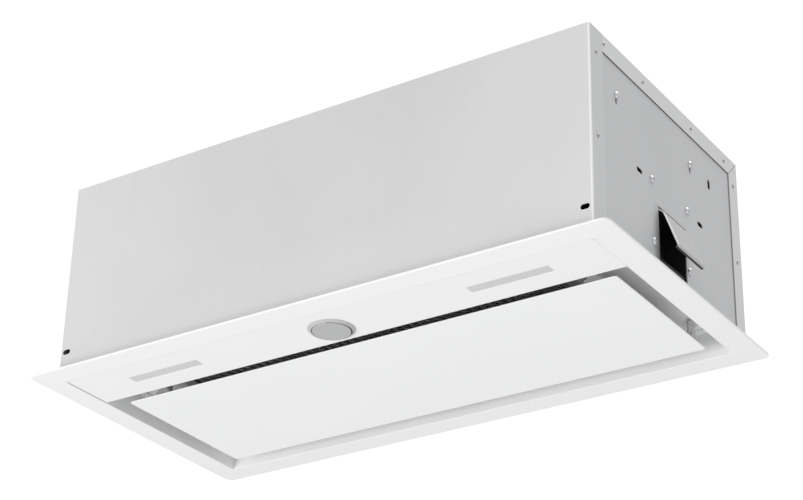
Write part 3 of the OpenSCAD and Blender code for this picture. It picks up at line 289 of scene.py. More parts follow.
def simple_faces(piece):
    """Parts each flat face that has holes in it by straight cuts through them, so no face is a ring.
    What goes to a mesh operator is kept in a fixed order, so each run cuts in the same way."""
    shape = bmesh.from_edit_mesh(piece.data)
    seen = set()
    for seed in list(shape.faces):
        if not seed.is_valid or seed in seen:
            continue
        flat, rim, level_faces = {}, [], [seed]
        seen.add(seed)
        while level_faces:
            face = level_faces.pop()
            flat[face] = True
            for edge in face.edges:
                for other in edge.link_faces:
                    if other is not face and other.normal.dot(seed.normal) < 0.9999:
                        rim.append(edge)
                    elif other not in seen:
                        seen.add(other)
                        level_faces.append(other)
        loops = []
        for edge in rim:
            touched = [loop for loop in loops if edge.verts[0] in loop or edge.verts[1] in loop]
            loops = [loop for loop in loops if loop not in touched] + [set(edge.verts).union(*touched)]
        if len(loops) < 2:
            continue
        spans = [[(min(v.co[i] for v in loop), max(v.co[i] for v in loop)) for i in range(3)]
                 for loop in loops]
        whole = max(spans, key=lambda span: sum(high - low for low, high in span))
        run = max(range(3), key=lambda i: whole[i][1] - whole[i][0])
        along, cuts = Vector([float(i == run) for i in range(3)]), []
        for low, high in sorted(span[run] for span in spans if span is not whole):
            if not any(abs(cut - (low + high) / 2) < (high - low) * 0.3 for cut in cuts):
                cuts.append((low + high) / 2)
        parts = dict.fromkeys([*flat, *(e for f in flat for e in f.edges),
                               *(v for f in flat for v in f.verts)])
        for cut in cuts:
            parts = bmesh.ops.bisect_plane(shape, geom=list(parts), dist=1e-5, plane_co=along * cut,
                                           plane_no=along)["geom"]
        flat = dict.fromkeys(part for part in parts if isinstance(part, bmesh.types.BMFace))
        seen.update(flat)
        spare = [e for e in dict.fromkeys(e for f in flat for e in f.edges)
                 if all(f in flat for f in e.link_faces)
                 and not any(all(abs(v.co[run] - cut) < 2e-5 for v in e.verts) for cut in cuts)]
        bmesh.ops.dissolve_edges(shape, edges=spare, use_verts=False)
    bmesh.update_edit_mesh(piece.data)


def copy_of(node, name):
    """A merged copy of a CAD part's shape, ready to be worked on."""
    piece = bpy.data.objects.new(name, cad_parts[node].data.copy())
    bpy.context.collection.objects.link(piece)
    pick(piece)
    bpy.ops.object.mode_set(mode="EDIT")
    bpy.ops.mesh.select_all(action="SELECT")
    bpy.ops.mesh.customdata_custom_splitnormals_clear()
    bpy.ops.mesh.remove_doubles(threshold=1e-6)
    bpy.ops.mesh.dissolve_limited(angle_limit=math.radians(1))
    simple_faces(piece)
    bpy.ops.object.mode_set(mode="OBJECT")
    return piece


def fit(piece, finish, body, slot, *nodes):
    """Puts its place in the mesh, coats the piece, hangs it on its body and takes the CAD parts' place."""
    pick(piece)
    bpy.ops.object.transform_apply(location=True, rotation=True, scale=True)
    piece.data.materials.clear()
    piece.data.materials.append(finish)
    bpy.ops.object.shade_smooth_by_angle(angle=math.radians(32))
    flats = piece.modifiers.new("flats", "WEIGHTED_NORMAL")
    flats.keep_sharp, flats.use_face_influence = True, True
    bpy.ops.object.modifier_apply(modifier="flats")
    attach(piece, body)
    if nodes:
        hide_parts(*nodes)


def coat(finish, *nodes):
    """A CAD part that keeps its own shape gets this finish."""
    for node in nodes:
        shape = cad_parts[node].data
        shape.materials.clear()
        shape.materials.append(finish)


def dress(node, name, width, steps, finish, slot, body="hood", corner=40):
    """Puts a copy of a CAD part, with eased edges and its finish, in the part's place."""
    piece = copy_of(node, name)
    ease(piece, width, steps, corner)
    fit(piece, finish, body, slot, node)


front = copy_of("front_wall", "front_sheet")
bpy.ops.object.mode_set(mode="EDIT")
choose(front, lambda middle, way: abs(way.z) > 0.99 and abs(abs(middle.x) - half_width) < 1e-5
       and abs(middle.y - front_y) < 1e-5)
bpy.ops.mesh.bevel(offset=fold_radius, segments=5)
bpy.ops.object.mode_set(mode="OBJECT")
ease(front, 0.00012, 1)
fit(front, coated_sheet, "hood", "casing_sheet", "front_wall")

for node, name, finish in (("top_plate", "top_sheet", lapped_sheet),
                           ("rear_wall", "rear_sheet", lapped_sheet),
                           ("left_side_panel", "left_side_sheet", side_sheet),
                           ("right_side_panel", "right_side_sheet", side_sheet)):
    dress(node, name, 0.00025, 2, finish, "casing_sheet")

# ---------------------------------------------------------------- rivets and side screws
# Blind rivets hold the folded strips: a low domed head with the hollow that the mandrel leaves.
# The side screws are zinc-plated pan heads with a cross recess, which hold brackets inside.
plated_steel, shader, place = new_finish("plated_steel", Metallic=1.0)
haze = place.noise(220, 4)
wire(shader, Base_Color=haze.between((0.60, 0.61, 0.63), (0.82, 0.82, 0.82)), Roughness=haze * 0.25 + 0.18,
     Normal=relief(place.noise(2500, 2), 0.06, 0.0001))


def solids(node):
    """The lowest and highest corner of each separate body in a CAD part."""
    shape = bmesh.new()
    shape.from_mesh(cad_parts[node].data)
    bmesh.ops.remove_doubles(shape, verts=shape.verts, dist=1e-6)
    left, found = set(shape.verts), []
    while left:
        edge_of, body = [left.pop()], []
        while edge_of:
            vert = edge_of.pop()
            body.append(vert.co.copy())
            for link in vert.link_edges:
                other = link.other_vert(vert)
                if other in left:
                    left.remove(other)
                    edge_of.append(other)
        found.append((Vector(map(min, *body)), Vector(map(max, *body))))
    shape.free()
    return sorted(found, key=lambda box: tuple(round(v, 5) for v in (*box[0], *box[1])))


def set_out(master, name, places):
    """One piece made of copies of a master, each with its own mesh, at the given matrices."""
    bpy.ops.object.select_all(action="DESELECT")
    for place in places:
        copy = master.copy()
        copy.data = master.data.copy()
        bpy.context.collection.objects.link(copy)
        copy.matrix_world = place @ master.matrix_world
        copy.select_set(True)
        bpy.context.view_layer.objects.active = copy
    bpy.ops.object.join()
    piece = bpy.context.object
    piece.name = name
    bpy.data.objects.remove(master)
    return piece


def outward(box, turn=0.0):
    """The matrix that turns a fastener modelled along +Z to point out of the casing's side at box."""
    side = 1 if box[1].x > 0 else -1
    middle = (box[0] + box[1]) / 2
    return (Matrix.Translation((0, middle.y, middle.z)) @ Matrix.Rotation(math.radians(90 * side), 4, "Y")
            @ Matrix.Rotation(turn, 4, "Z"))


rivet_r, rivet_edge, dome_rise, dome_share = 0.00175, 0.0003, 0.00028, 0.66
hollow_r, hollow_depth, foot_r = 0.0009, 0.00035, 0.00155
bpy.ops.mesh.primitive_cylinder_add(vertices=20, radius=rivet_r, depth=rivet_edge,
                                    location=(0, 0, half_width + rivet_edge / 2))
rivet = bpy.context.object
bpy.ops.object.mode_set(mode="EDIT")
choose(rivet, lambda middle, way: way.z > 0.9, "FACE")
bpy.ops.mesh.extrude_region_move(TRANSFORM_OT_translate={"value": (0, 0, dome_rise)})
bpy.ops.transform.resize(value=(dome_share, dome_share, 1))
bpy.ops.mesh.inset(thickness=0.00045, depth=0.00008)
bpy.ops.mesh.extrude_region_move(TRANSFORM_OT_translate={"value": (0, 0, -hollow_depth)})
bpy.ops.object.mode_set(mode="OBJECT")
ease(rivet, 0.00008, 2, 25)
# Painted shade: the hollow of each head and the rim at its foot are near black, where little light gets in;
# in the hollow the mandrel's dark steel also shows.
rivet_shade = rivet.data.attributes.new("rivet_shade", "FLOAT", "FACE")
for face in rivet.data.polygons:
    reach = face.center.xy.length
    rivet_shade.data[face.index].value = 1.0 if reach < hollow_r or reach > foot_r else 0.0
rivet_steel, shader, place = new_finish("rivet_steel", Metallic=1.0)
haze = place.noise(300, 3)
shade = place.node("ShaderNodeAttribute", {"attribute_name": "rivet_shade"}, None, 2)
steel_tone = haze.between((0.52, 0.52, 0.53), (0.70, 0.70, 0.70))
wire(shader, Base_Color=shade.between(steel_tone, (0.03, 0.03, 0.03)), Roughness=haze * 0.2 + 0.2,
     Normal=relief(place.noise(2500, 2), 0.06, 0.0001))
fit(set_out(rivet, "rivet_heads", [outward(box) for box in solids("casing_rivets")]),
    rivet_steel, "hood", "zinc", "casing_rivets")


def pan_screw(seat, head, rise, shank, length):
    """A screw that points along +Z with a domed head on its seat, and a cross recess in the head."""
    bpy.ops.object.select_all(action="DESELECT")
    bpy.ops.mesh.primitive_cylinder_add(vertices=32, radius=head, depth=rise * 0.42,
                                        location=(0, 0, seat + rise * 0.21))
    screw = bpy.context.object
    bpy.ops.object.mode_set(mode="EDIT")
    for step, shrink in ((0.29, 0.88), (0.21, 0.72), (0.08, 0.45)):
        choose(screw, lambda middle, way: way.z > 0.98, "FACE")
        bpy.ops.mesh.extrude_region_move(TRANSFORM_OT_translate={"value": (0, 0, step * rise)})
        bpy.ops.transform.resize(value=(shrink, shrink, 1))
    choose(screw, lambda middle, way: way.z < -0.98, "FACE")
    bpy.ops.mesh.inset(thickness=head - shank)
    bpy.ops.mesh.extrude_region_move(TRANSFORM_OT_translate={"value": (0, 0, -length)})
    bpy.ops.object.mode_set(mode="OBJECT")
    for turn in (0, math.pi / 2):
        bpy.ops.mesh.primitive_cube_add(size=1, location=(0, 0, seat + rise * 0.92), rotation=(0, 0, turn),
                                        scale=(head * 1.24, head * 0.26, rise * 1.08))
        blade = bpy.context.object
        pick(blade)
        bpy.ops.object.mode_set(mode="EDIT")
        choose(blade, lambda middle, way: way.z < -0.9, "FACE")
        bpy.ops.transform.resize(value=(0.45, 0.7, 1))
        bpy.ops.object.mode_set(mode="OBJECT")
        pick(screw)
        recess = screw.modifiers.new("recess", "BOOLEAN")
        recess.object, recess.operation, recess.solver = blade, "DIFFERENCE", "EXACT"
        bpy.ops.object.modifier_apply(modifier="recess")
        bpy.data.objects.remove(blade)
    ease(screw, 0.00012, 2, 50)
    return screw


screw = pan_screw(seat=half_width - 0.001, head=0.0034, rise=0.0024, shank=0.0019, length=0.0065)
turned_screws = [outward(box, 0.5 + 1.1 * i) for i, box in enumerate(solids("side_screws"))]
fit(set_out(screw, "side_screw_heads", turned_screws), plated_steel, "hood", "zinc", "side_screws")

for node in ("hanger_brackets", "left_wing_plate", "right_wing_plate"):
    dress(node, node + "_pressed", 0.0002, 1, plated_steel, "zinc")

# ---------------------------------------------------------------- spring wings and their pockets
# Each wing is a strip of spring steel, bent out through a window in the side, with its lower edge
# turned back. It grips the cabinet once the hood is pushed up. A black moulded pocket closes the
# window from inside.
spring_steel, shader, place = new_finish("spring_steel", Metallic=0.3)
satin = place.noise(90, 4, (1, 0.2, 1))
x, y, z = place.axes()
# A painted highlight on the wing's front cut edge.
cut_edge_highlight = (y < wing_low.y + 0.0021) * (z > wing_low.z + 0.0024)
out = x.maths("ABSOLUTE", x, 0.0)
# Painted shade on the underside of the turned-back lower edge and on the root where the wing enters its
# window.
root_z, inner_x = 0.0768, 0.2937
turned = (z < wing_low.z + 0.0013) * (out < inner_x) + (z > root_z)
sheet_tone = satin.between((0.50, 0.50, 0.505), (0.56, 0.56, 0.565))
wire(shader, Base_Color=turned.between(cut_edge_highlight.between(sheet_tone, (0.99, 0.99, 0.99)), (0.03, 0.03, 0.03)),
     Roughness=satin * 0.15 + 0.34, Normal=relief(satin, 0.05, 0.0003))

patch, wing_thick, bend_radius = 0.001, 0.001, 0.0012
wing_path = ((0.2765, 0.0790), (0.2765, 0.0760), (0.2820, 0.0715), (0.2946, 0.0365), (0.2916, 0.0355))
for side, node in ((1, "right_wing"), (-1, "left_wing")):
    low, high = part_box(node)
    bpy.ops.mesh.primitive_plane_add(size=patch, rotation=(0, math.pi / 2, 0), location=(
        side * wing_path[0][0], (low.y + high.y) / 2, wing_path[0][1] - patch / 2))
    wing = bpy.context.object
    bpy.ops.object.transform_apply(location=True, rotation=True, scale=True)
    bpy.ops.object.mode_set(mode="EDIT")
    bpy.ops.transform.resize(value=(1, (high.y - low.y - 0.0002) / patch, 1))
    edge_at = Vector((side * wing_path[0][0], 0, wing_path[0][1] - patch))
    for x, z in wing_path[1:]:
        goal = Vector((side * x, 0, z))
        choose(wing, lambda middle, way: abs(way.y) > 0.99 and abs(middle.x - edge_at.x) < 1e-5
               and abs(middle.z - edge_at.z) < 1e-5)
        bpy.ops.mesh.extrude_region_move(TRANSFORM_OT_translate={"value": goal - edge_at})
        edge_at = goal
    choose(wing, lambda middle, way: abs(way.y) > 0.99 and any(
        abs(middle.x - side * x) < 1e-5 and abs(middle.z - z) < 1e-5 for x, z in wing_path[1:4]))
    bpy.ops.mesh.bevel(offset=bend_radius, segments=5)
    bpy.ops.object.mode_set(mode="OBJECT")
    sheet = wing.modifiers.new("sheet", "SOLIDIFY")
    sheet.thickness, sheet.offset = wing_thick, 0
    bpy.ops.object.modifier_apply(modifier="sheet")
    bpy.ops.object.mode_set(mode="EDIT")
    bpy.ops.mesh.select_all(action="SELECT")
    bpy.ops.mesh.normals_make_consistent(inside=False)
    bpy.ops.object.mode_set(mode="OBJECT")
    ease(wing, 0.00015, 2, 50)
    wing.name = node + "_spring"
    fit(wing, spring_steel, node, "zinc", node)

black_plastic, shader, place = new_finish("black_plastic", Specular_IOR_Level=0.35)
spark = place.noise(1800, 2)
wear = place.noise(40, 4)
wire(shader, Base_Color=wear.between((0.012, 0.012, 0.013), (0.026, 0.026, 0.028)),
     Roughness=wear * 0.2 + 0.42, Normal=relief(spark, 0.18, 0.00015))
for node in ("left_wing_pocket", "right_wing_pocket"):
    dress(node, node + "_moulded", 0.0005, 3, black_plastic, "black_plastic")

# ---------------------------------------------------------------- trim frame
# One deep-drawn sheet with a white powder coat: a turned-up lip, a border that falls gently to its
# rim, a flat fascia for knob and lights, and walls round the suction opening.
white_enamel, shader, place = new_finish("white_enamel", IOR=1.5, Coat_Weight=0.25, Coat_Roughness=0.12)
peel = place.noise(620, 2)
drift = place.noise(7, 3)
wire(shader, Base_Color=drift.between((0.855, 0.86, 0.865), (0.885, 0.888, 0.89)),
     Roughness=drift * 0.08 + 0.3, Normal=relief(peel, 0.07, 0.0003))
fold_x, fold_front, fold_rear = 0.275, -0.134, -0.0765
drawn_enamel, shader, place = new_finish("drawn_enamel", IOR=1.5, Coat_Weight=0.25, Coat_Roughness=0.12)
peel, drift = place.noise(620, 2), place.noise(7, 3)
x, y, z = place.axes()
out = x.maths("ABSOLUTE", x, 0.0)
# Painted shade: a faint grey line along the fold between the front border and the fascia, and a darker one
# along the folds at the fascia's sides.
front_fold_shade = y.near(fold_front, 0.0006) * (out < fold_x) * 0.35
side_fold_shade = out.near(fold_x - 0.0002, 0.0005) * (y > fold_front) * (y < fold_rear) * (z < 0.0)
tone = drift.between((0.855, 0.858, 0.862), (0.882, 0.884, 0.886))
wire(shader, Base_Color=(front_fold_shade + side_fold_shade).between(tone, (0.62, 0.62, 0.625)),
     Roughness=drift * 0.08 + 0.3, Normal=relief(peel, 0.07, 0.0003))
trim = copy_of("trim_frame", "trim_drawn")
ease(trim, 0.0004, 3, 35)
wall_front = -0.076
bpy.ops.object.mode_set(mode="EDIT")
choose(trim, lambda middle, way: abs(way.x) > 0.999 and abs(abs(middle.x) - fold_x) < 1e-4, "FACE")
bpy.ops.mesh.bisect(plane_co=(0, wall_front - 0.0004, 0), plane_no=(0, 1, 0), threshold=1e-5)
bpy.ops.object.mode_set(mode="OBJECT")
fit(trim, drawn_enamel, "hood", "white_enamel", "trim_frame")

# ---------------------------------------------------------------- filter deck
# The white sheet over the opening that carries the grease filter. Small self-tapping screws join
# it to the flange on the opening's walls.
dress("filter_deck", "deck_sheet", 0.0002, 1, white_enamel, "white_enamel")

head_r, head_edge, head_z, head_rise = 0.003, 0.0006, -0.0011, 0.0006
socket_depth, shank_r, shank = 0.0007, 0.0015, 0.0020
bpy.ops.mesh.primitive_cylinder_add(vertices=24, radius=head_r, depth=head_edge, location=(0, 0, head_z))
head = bpy.context.object
bpy.ops.object.mode_set(mode="EDIT")
choose(head, lambda middle, way: way.z > 0.98, "FACE")
bpy.ops.mesh.extrude_region_move(TRANSFORM_OT_translate={"value": (0, 0, head_rise)})
bpy.ops.transform.resize(value=(0.7, 0.7, 1))
bpy.ops.mesh.inset(thickness=0.0010)
bpy.ops.mesh.extrude_region_move(TRANSFORM_OT_translate={"value": (0, 0, -socket_depth)})
choose(head, lambda middle, way: way.z < -0.98, "FACE")
bpy.ops.mesh.inset(thickness=head_r - shank_r)
bpy.ops.mesh.extrude_region_move(TRANSFORM_OT_translate={"value": (0, 0, -shank)})
bpy.ops.object.mode_set(mode="OBJECT")
ease(head, 0.0001, 2, 50)
seats = [Matrix.Translation(((a.x + b.x) / 2, (a.y + b.y) / 2, b.z)) for a, b in solids("deck_screws")]
fit(set_out(head, "deck_screw_heads", seats), plated_steel, "hood", "zinc", "deck_screws")

# ---------------------------------------------------------------- suction panel
# The panel is a white steel plate with a fine chamfer all round and round corners, on a folded
# tray that keeps it flat. It hangs on two pins at the rear and is held shut by magnets in front.
low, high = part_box("panel_face")
corner_r, chamfer, back_chamfer = 0.003, 0.0006, 0.0002
bpy.ops.mesh.primitive_cube_add(size=1, location=(low + high) / 2, scale=high - low)
panel = bpy.context.object
bpy.ops.object.transform_apply(location=True, rotation=True, scale=True)
bpy.ops.object.mode_set(mode="EDIT")
choose(panel, lambda middle, way: abs(way.z) > 0.99)
bpy.ops.mesh.bevel(offset=corner_r, segments=8)
choose(panel, lambda middle, way: way.z < -0.99, "FACE")
bpy.ops.mesh.bevel(offset=chamfer, segments=2)
choose(panel, lambda middle, way: way.z > 0.99, "FACE")
bpy.ops.mesh.bevel(offset=back_chamfer, segments=1)
bpy.ops.object.mode_set(mode="OBJECT")
panel.name = "panel_plate"
fit(panel, white_enamel, "suction_panel", "white_enamel", "panel_face")

# The hinge brackets are white enamel painted grey: painted shade where they sit in the gap beside the panel.
shaded_enamel, shader, place = new_finish("shaded_enamel", IOR=1.5)
drift = place.noise(30, 3)
wire(shader, Base_Color=drift.between((0.60, 0.602, 0.605), (0.65, 0.652, 0.655)),
     Roughness=drift * 0.1 + 0.4, Normal=relief(place.noise(620, 2), 0.07, 0.0003))
dress("panel_tray", "tray_folded", 0.0003, 2, white_enamel, "white_enamel", body="suction_panel")

dress("hinge_brackets", "hinge_brackets_pressed", 0.00025, 2, shaded_enamel, "white_enamel")
# The pins, the latch's keeper, the filter's holders and the switch's bracket are zinc-plated steel.
for node in ("hinge_pins", "latch_keeper", "filter_holders", "switch_bracket"):
    dress(node, node + "_pressed", 0.00025, 2, plated_steel, "zinc")

catch_grey, shader, place = new_finish("catch_grey")
speck = place.noise(900, 3)
wire(shader, Base_Color=speck.between((0.48, 0.482, 0.485), (0.54, 0.542, 0.545)),
     Roughness=speck * 0.2 + 0.4, Normal=relief(speck, 0.15, 0.0002))
dress("panel_catches", "magnet_catches", 0.0004, 3, catch_grey, "catch_grey")

# ---------------------------------------------------------------- grease filter
# A cassette of expanded aluminium: a rolled channel frame round pleated layers of slit and
# stretched foil, which the latch and two hooks hold under the deck.
mill_aluminium, shader, place = new_finish("mill_aluminium", Metallic=0.7)
brush = place.noise(40, 5, (0.08, 1, 1))
wire(shader, Base_Color=brush.between((0.60, 0.61, 0.62), (0.76, 0.76, 0.77)), Roughness=brush * 0.2 + 0.3,
     Normal=relief(brush, 0.07, 0.0003))
dress("filter_frame", "cassette_frame", 0.0006, 3, mill_aluminium, "filter_aluminium")

foil, shader, place = new_finish("stretched_foil", Metallic=1.0)
crumple = place.noise(500, 4)
wire(shader, Base_Color=crumple.between((0.22, 0.225, 0.23), (0.32, 0.32, 0.325)),
     Roughness=crumple * 0.25 + 0.28, Normal=relief(crumple, 0.3, 0.0004))
low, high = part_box("filter_mesh")
pleat, wave, strand = 0.009, 0.0005, 0.0006
lattice_z, pad_z, pad_thick = 0.0175, 0.0207, 0.004
count_x, count_y, pad_cuts = 48, 34, 185
lattice_gap, pad_gap = 0.003, 0.001
bpy.ops.mesh.primitive_grid_add(x_subdivisions=count_x, y_subdivisions=count_y, size=1)
lattice = bpy.context.object
bpy.ops.object.mode_set(mode="EDIT")
bpy.ops.mesh.select_all(action="SELECT")
bpy.ops.mesh.poke()
choose(lattice, lambda middle, way: abs(way.x) > 0.999 or abs(way.y) > 0.999)
bpy.ops.mesh.dissolve_edges(use_verts=False)
bpy.ops.object.mode_set(mode="OBJECT")
reach_x, reach_y = high.x - low.x - 2 * lattice_gap, high.y - low.y - 2 * lattice_gap
centre = (low + high) / 2
for vert in lattice.data.vertices:
    x, y = vert.co.x * reach_x, vert.co.y * reach_y
    vert.co = (centre.x + x, centre.y + y, lattice_z + wave * math.sin(2 * math.pi * x / pleat))
strands = lattice.modifiers.new("strands", "WIREFRAME")
strands.thickness, strands.use_even_offset, strands.use_boundary = strand, False, True
bpy.ops.object.modifier_apply(modifier="strands")
lattice.name = "stretched_mesh"
fit(lattice, foil, "hood", "filter_aluminium")

pad_finish, shader, place = new_finish("layered_foil", Metallic=0.9)
squeezed = place.node("ShaderNodeVectorMath", {"operation": "MULTIPLY"}, {0: place, 1: (1, 1.9, 1)})
weave = place.node("ShaderNodeTexVoronoi", {"feature": "DISTANCE_TO_EDGE"},
                   {"Vector": squeezed, "Scale": 230})
wire(shader, Base_Color=weave.ramp(0.02, 0.2).between((0.22, 0.22, 0.225), (0.13, 0.13, 0.135)),
     Roughness=weave.ramp(0.0, 0.3) * 0.3 + 0.35, Normal=relief(weave.ramp(0.0, 0.25), 0.6, 0.0008))
bpy.ops.mesh.primitive_cube_add(size=1, location=(centre.x, centre.y, pad_z), scale=(
    high.x - low.x - 2 * pad_gap, high.y - low.y - 2 * pad_gap, pad_thick))
pad = bpy.context.object
bpy.ops.object.transform_apply(location=True, rotation=True, scale=True)
bpy.ops.object.mode_set(mode="EDIT")
choose(pad, lambda middle, way: abs(way.x) > 0.99)
bpy.ops.mesh.subdivide(number_cuts=pad_cuts)
bpy.ops.object.mode_set(mode="OBJECT")
for vert in pad.data.vertices:
    vert.co.z += wave * math.sin(2 * math.pi * (vert.co.x - centre.x) / pleat)
pad.name = "mesh_layers"
fit(pad, pad_finish, "hood", "filter_aluminium", "filter_mesh")

dress("filter_latch", "latch_slide", 0.0003, 2, black_plastic, "black_plastic", body="filter_latch")

# ---------------------------------------------------------------- knob
# A shallow cup of satin silver plastic. It sits in a moulded ring whose front slopes down to the
# cup's face, and pops out of it when pushed. Behind it, a stem runs up to a rotary switch.
silver_plastic, shader, place = new_finish("silver_plastic", Metallic=0.55)
flow = place.noise(55, 4)
fine = place.noise(2600, 2)
wire(shader, Base_Color=flow.between((0.545, 0.548, 0.552), (0.59, 0.593, 0.597)),
     Roughness=flow * 0.1 + 0.36, Normal=relief(fine, 0.08, 0.0001))


def lathe(outline, x, y, steps=96):
    """A piece turned about an upright axis at x, y from an outline of radius and height in metres."""
    bpy.ops.object.select_all(action="DESELECT")
    bpy.ops.mesh.primitive_plane_add(size=0.0002, location=(x + outline[0][0], y, outline[0][1]))
    piece = bpy.context.object
    bpy.ops.object.transform_apply(location=True, rotation=True, scale=True)
    bpy.ops.object.mode_set(mode="EDIT")
    bpy.ops.mesh.select_mode(type="VERT")
    bpy.ops.mesh.select_all(action="SELECT")
    bpy.ops.mesh.merge(type="CENTER")
    ring_shaped = outline[0][0] > 0
    for here, there in zip(outline, outline[1:] + outline[:1] * ring_shaped):
        step = (there[0] - here[0], 0, there[1] - here[1])
        bpy.ops.mesh.extrude_region_move(TRANSFORM_OT_translate={"value": step})
    bpy.ops.mesh.select_all(action="SELECT")
    bpy.ops.mesh.remove_doubles(threshold=1e-6)
    bpy.ops.mesh.spin(steps=steps, angle=2 * math.pi, center=(x, y, 0), axis=(0, 0, 1))
    bpy.ops.mesh.select_all(action="SELECT")
    bpy.ops.mesh.remove_doubles(threshold=1e-6)
    bpy.ops.mesh.normals_make_consistent(inside=False)
    bpy.ops.object.mode_set(mode="OBJECT")
    return piece


low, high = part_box("knob_cap")
knob_x, knob_y, knob_r = (low.x + high.x) / 2, (low.y + high.y) / 2, (high.x - low.x) / 2
# The cap and its ring are turned a little smaller than the room that the CAD parts hold for them.
cap_less, ring_less = 0.0014, 0.0011
face_r, face_z, top_z = knob_r - cap_less, low.z, high.z
socket_r, bore_r = 0.0060, 0.0031
knob = lathe([(0, face_z + 0.00045), (0.008, face_z + 0.00038), (0.013, face_z + 0.00022),
              (0.0158, face_z + 0.00002), (face_r - 0.0009, face_z), (face_r - 0.0004, face_z + 0.0001),
              (face_r - 0.0001, face_z + 0.00035), (face_r, face_z + 0.0007),
              (face_r + 0.0004, top_z - 0.0004), (face_r + 0.0002, top_z),
              (face_r - 0.0010, top_z), (face_r - 0.0014, face_z + 0.0016),
              (socket_r, face_z + 0.0016), (socket_r, top_z - 0.0002), (bore_r, top_z - 0.0002),
              (bore_r, face_z + 0.00155), (0, face_z + 0.00155)], knob_x, knob_y)
knob.name = "knob_cup"
fit(knob, silver_plastic, "knob", "silver_plastic", "knob_cap")

light_silver, shader, place = new_finish("light_silver", Metallic=0.1)
flow = place.noise(70, 4)
x, y, z = place.axes()
from_axis = x * x + (y - knob_y) * (y - knob_y)
lip_r = face_r + 0.00055
# Painted shade: the groove between the cup and the ring is near black on its far side only, where it is seen
# into.
groove_shade = (from_axis < (lip_r + 0.0007) ** 2) * (x - (y - knob_y) * 0.2 > 0.009)
ring_tone = flow.between((0.475, 0.478, 0.482), (0.515, 0.518, 0.522))
wire(shader, Base_Color=groove_shade.between(ring_tone, (0.03, 0.03, 0.03)), Roughness=flow * 0.1 + 0.3,
     Normal=relief(place.noise(2600, 2), 0.08, 0.0001))
low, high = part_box("knob_ring")
ring_r, back_z, tube_z = (high.x - low.x) / 2 - ring_less, low.z + 0.0008, high.z
tube_r, lip_z = knob_r + 0.0016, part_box("knob_cap")[0].z + 0.0003
ring = lathe([(ring_r, back_z), (ring_r, back_z - 0.0003), (ring_r - 0.0003, back_z - 0.0006),
              (lip_r + 0.0009, lip_z + 0.0001), (lip_r + 0.0005, lip_z), (lip_r + 0.0002, lip_z),
              (lip_r, lip_z + 0.0002), (lip_r, low.z + 0.0012), (knob_r + 0.0004, low.z + 0.0016),
              (knob_r + 0.0004, tube_z), (tube_r, tube_z), (tube_r, back_z)], knob_x, knob_y)
ring.name = "knob_bezel"
fit(ring, light_silver, "hood", "silver_plastic", "knob_ring")

pale_plastic, shader, place = new_finish("pale_plastic")
faint = place.noise(120, 4)
wire(shader, Base_Color=faint.between((0.66, 0.66, 0.65), (0.74, 0.74, 0.73)), Roughness=faint * 0.2 + 0.35,
     Normal=relief(place.noise(1500, 2), 0.08, 0.0002))
coat(pale_plastic, "knob_stem", "switch_spindle")
coat(black_plastic, "rotary_switch")

# ---------------------------------------------------------------- lights
# Each light is a frosted cover strip that drops through the fascia from a white tray, with a board
# of light emitters above it.
frosted, shader, place = new_finish("frosted_cover", IOR=1.49, Coat_Weight=0.3, Coat_Roughness=0.2)
ribs = place.node("ShaderNodeTexWave", {"bands_direction": "X", "wave_profile": "SIN"},
                  {"Vector": place, "Scale": 160})
milk = place.noise(60, 3)
x, y, z = place.axes()
# Painted shade: a dark line along the cover's rear edge, in the gap where it drops through the fascia.
seam_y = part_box("left_light_cover")[1].y - 0.0031
seam_shade = y.near(seam_y, 0.0005)
milk_tone = milk.between((0.57, 0.573, 0.577), (0.63, 0.633, 0.637))
wire(shader, Base_Color=seam_shade.between(milk_tone, (0.16, 0.16, 0.16)), Roughness=milk * 0.1 + 0.32,
     Normal=relief(ribs, 0.12, 0.0002))
for node in ("left_light_cover", "right_light_cover"):
    dress(node, node + "_frosted", 0.0004, 3, frosted, "diffuser")
for node in ("left_light_tray", "right_light_tray"):
    dress(node, node + "_moulded", 0.0003, 2, pale_plastic, "pale_plastic")

circuit_board, shader, place = new_finish("circuit_board", IOR=1.5)
tracks = place.node("ShaderNodeTexBrick", {"offset": 0.5},
                    {"Vector": place, "Scale": 140, "Mortar Size": 0.03}, 1)
wire(shader, Base_Color=tracks.between((0.02, 0.16, 0.06), (0.10, 0.35, 0.16)),
     Roughness=place.noise(80, 3) * 0.2 + 0.25, Normal=relief(tracks, 0.2, 0.0001))
coat(circuit_board, "light_boards", "control_board")

# ---------------------------------------------------------------- blower
# A double-inlet centrifugal fan: a galvanised scroll with moulded inlet rings, a black moulded wheel
# on a steel shaft, and a motor inside the wheel that hangs on a bracket with rubber mounts.
galvanised, shader, place = new_finish("galvanised", Metallic=0.85)
spangle = place.node("ShaderNodeTexVoronoi", {"feature": "F1"}, {"Vector": place, "Scale": 130}, 1)
flake = spangle.node("ShaderNodeSeparateColor", None, {"Color": spangle})
cloud = place.noise(35, 4)
wire(shader, Base_Color=(flake * 0.55 + cloud * 0.45).between((0.50, 0.51, 0.53), (0.70, 0.71, 0.72)),
     Roughness=flake * 0.16 + 0.33, Normal=relief(place.noise(700, 3), 0.08, 0.0002))
coat(galvanised, "scroll_band", "left_scroll_side", "right_scroll_side", "motor_bracket")
coat(black_plastic, "inlet_rings", "impeller_wheel")
coat(plated_steel, "motor_shaft")
motor_paint, shader, place = new_finish("motor_paint", Metallic=0.2)
crackle = place.noise(400, 4)
wire(shader, Base_Color=crackle.between((0.10, 0.11, 0.125), (0.15, 0.16, 0.18)),
     Roughness=crackle * 0.2 + 0.35, Normal=relief(crackle, 0.2, 0.0003))
coat(motor_paint, "motor_body", "motor_end_cap")
rubber, shader, place = new_finish("rubber_black")
bloom = place.noise(150, 4)
wire(shader, Base_Color=bloom.between((0.015, 0.015, 0.015), (0.035, 0.035, 0.035)),
     Roughness=bloom * 0.2 + 0.65, Normal=relief(place.noise(1200, 2), 0.15, 0.0002))
coat(rubber, "rubber_mounts")

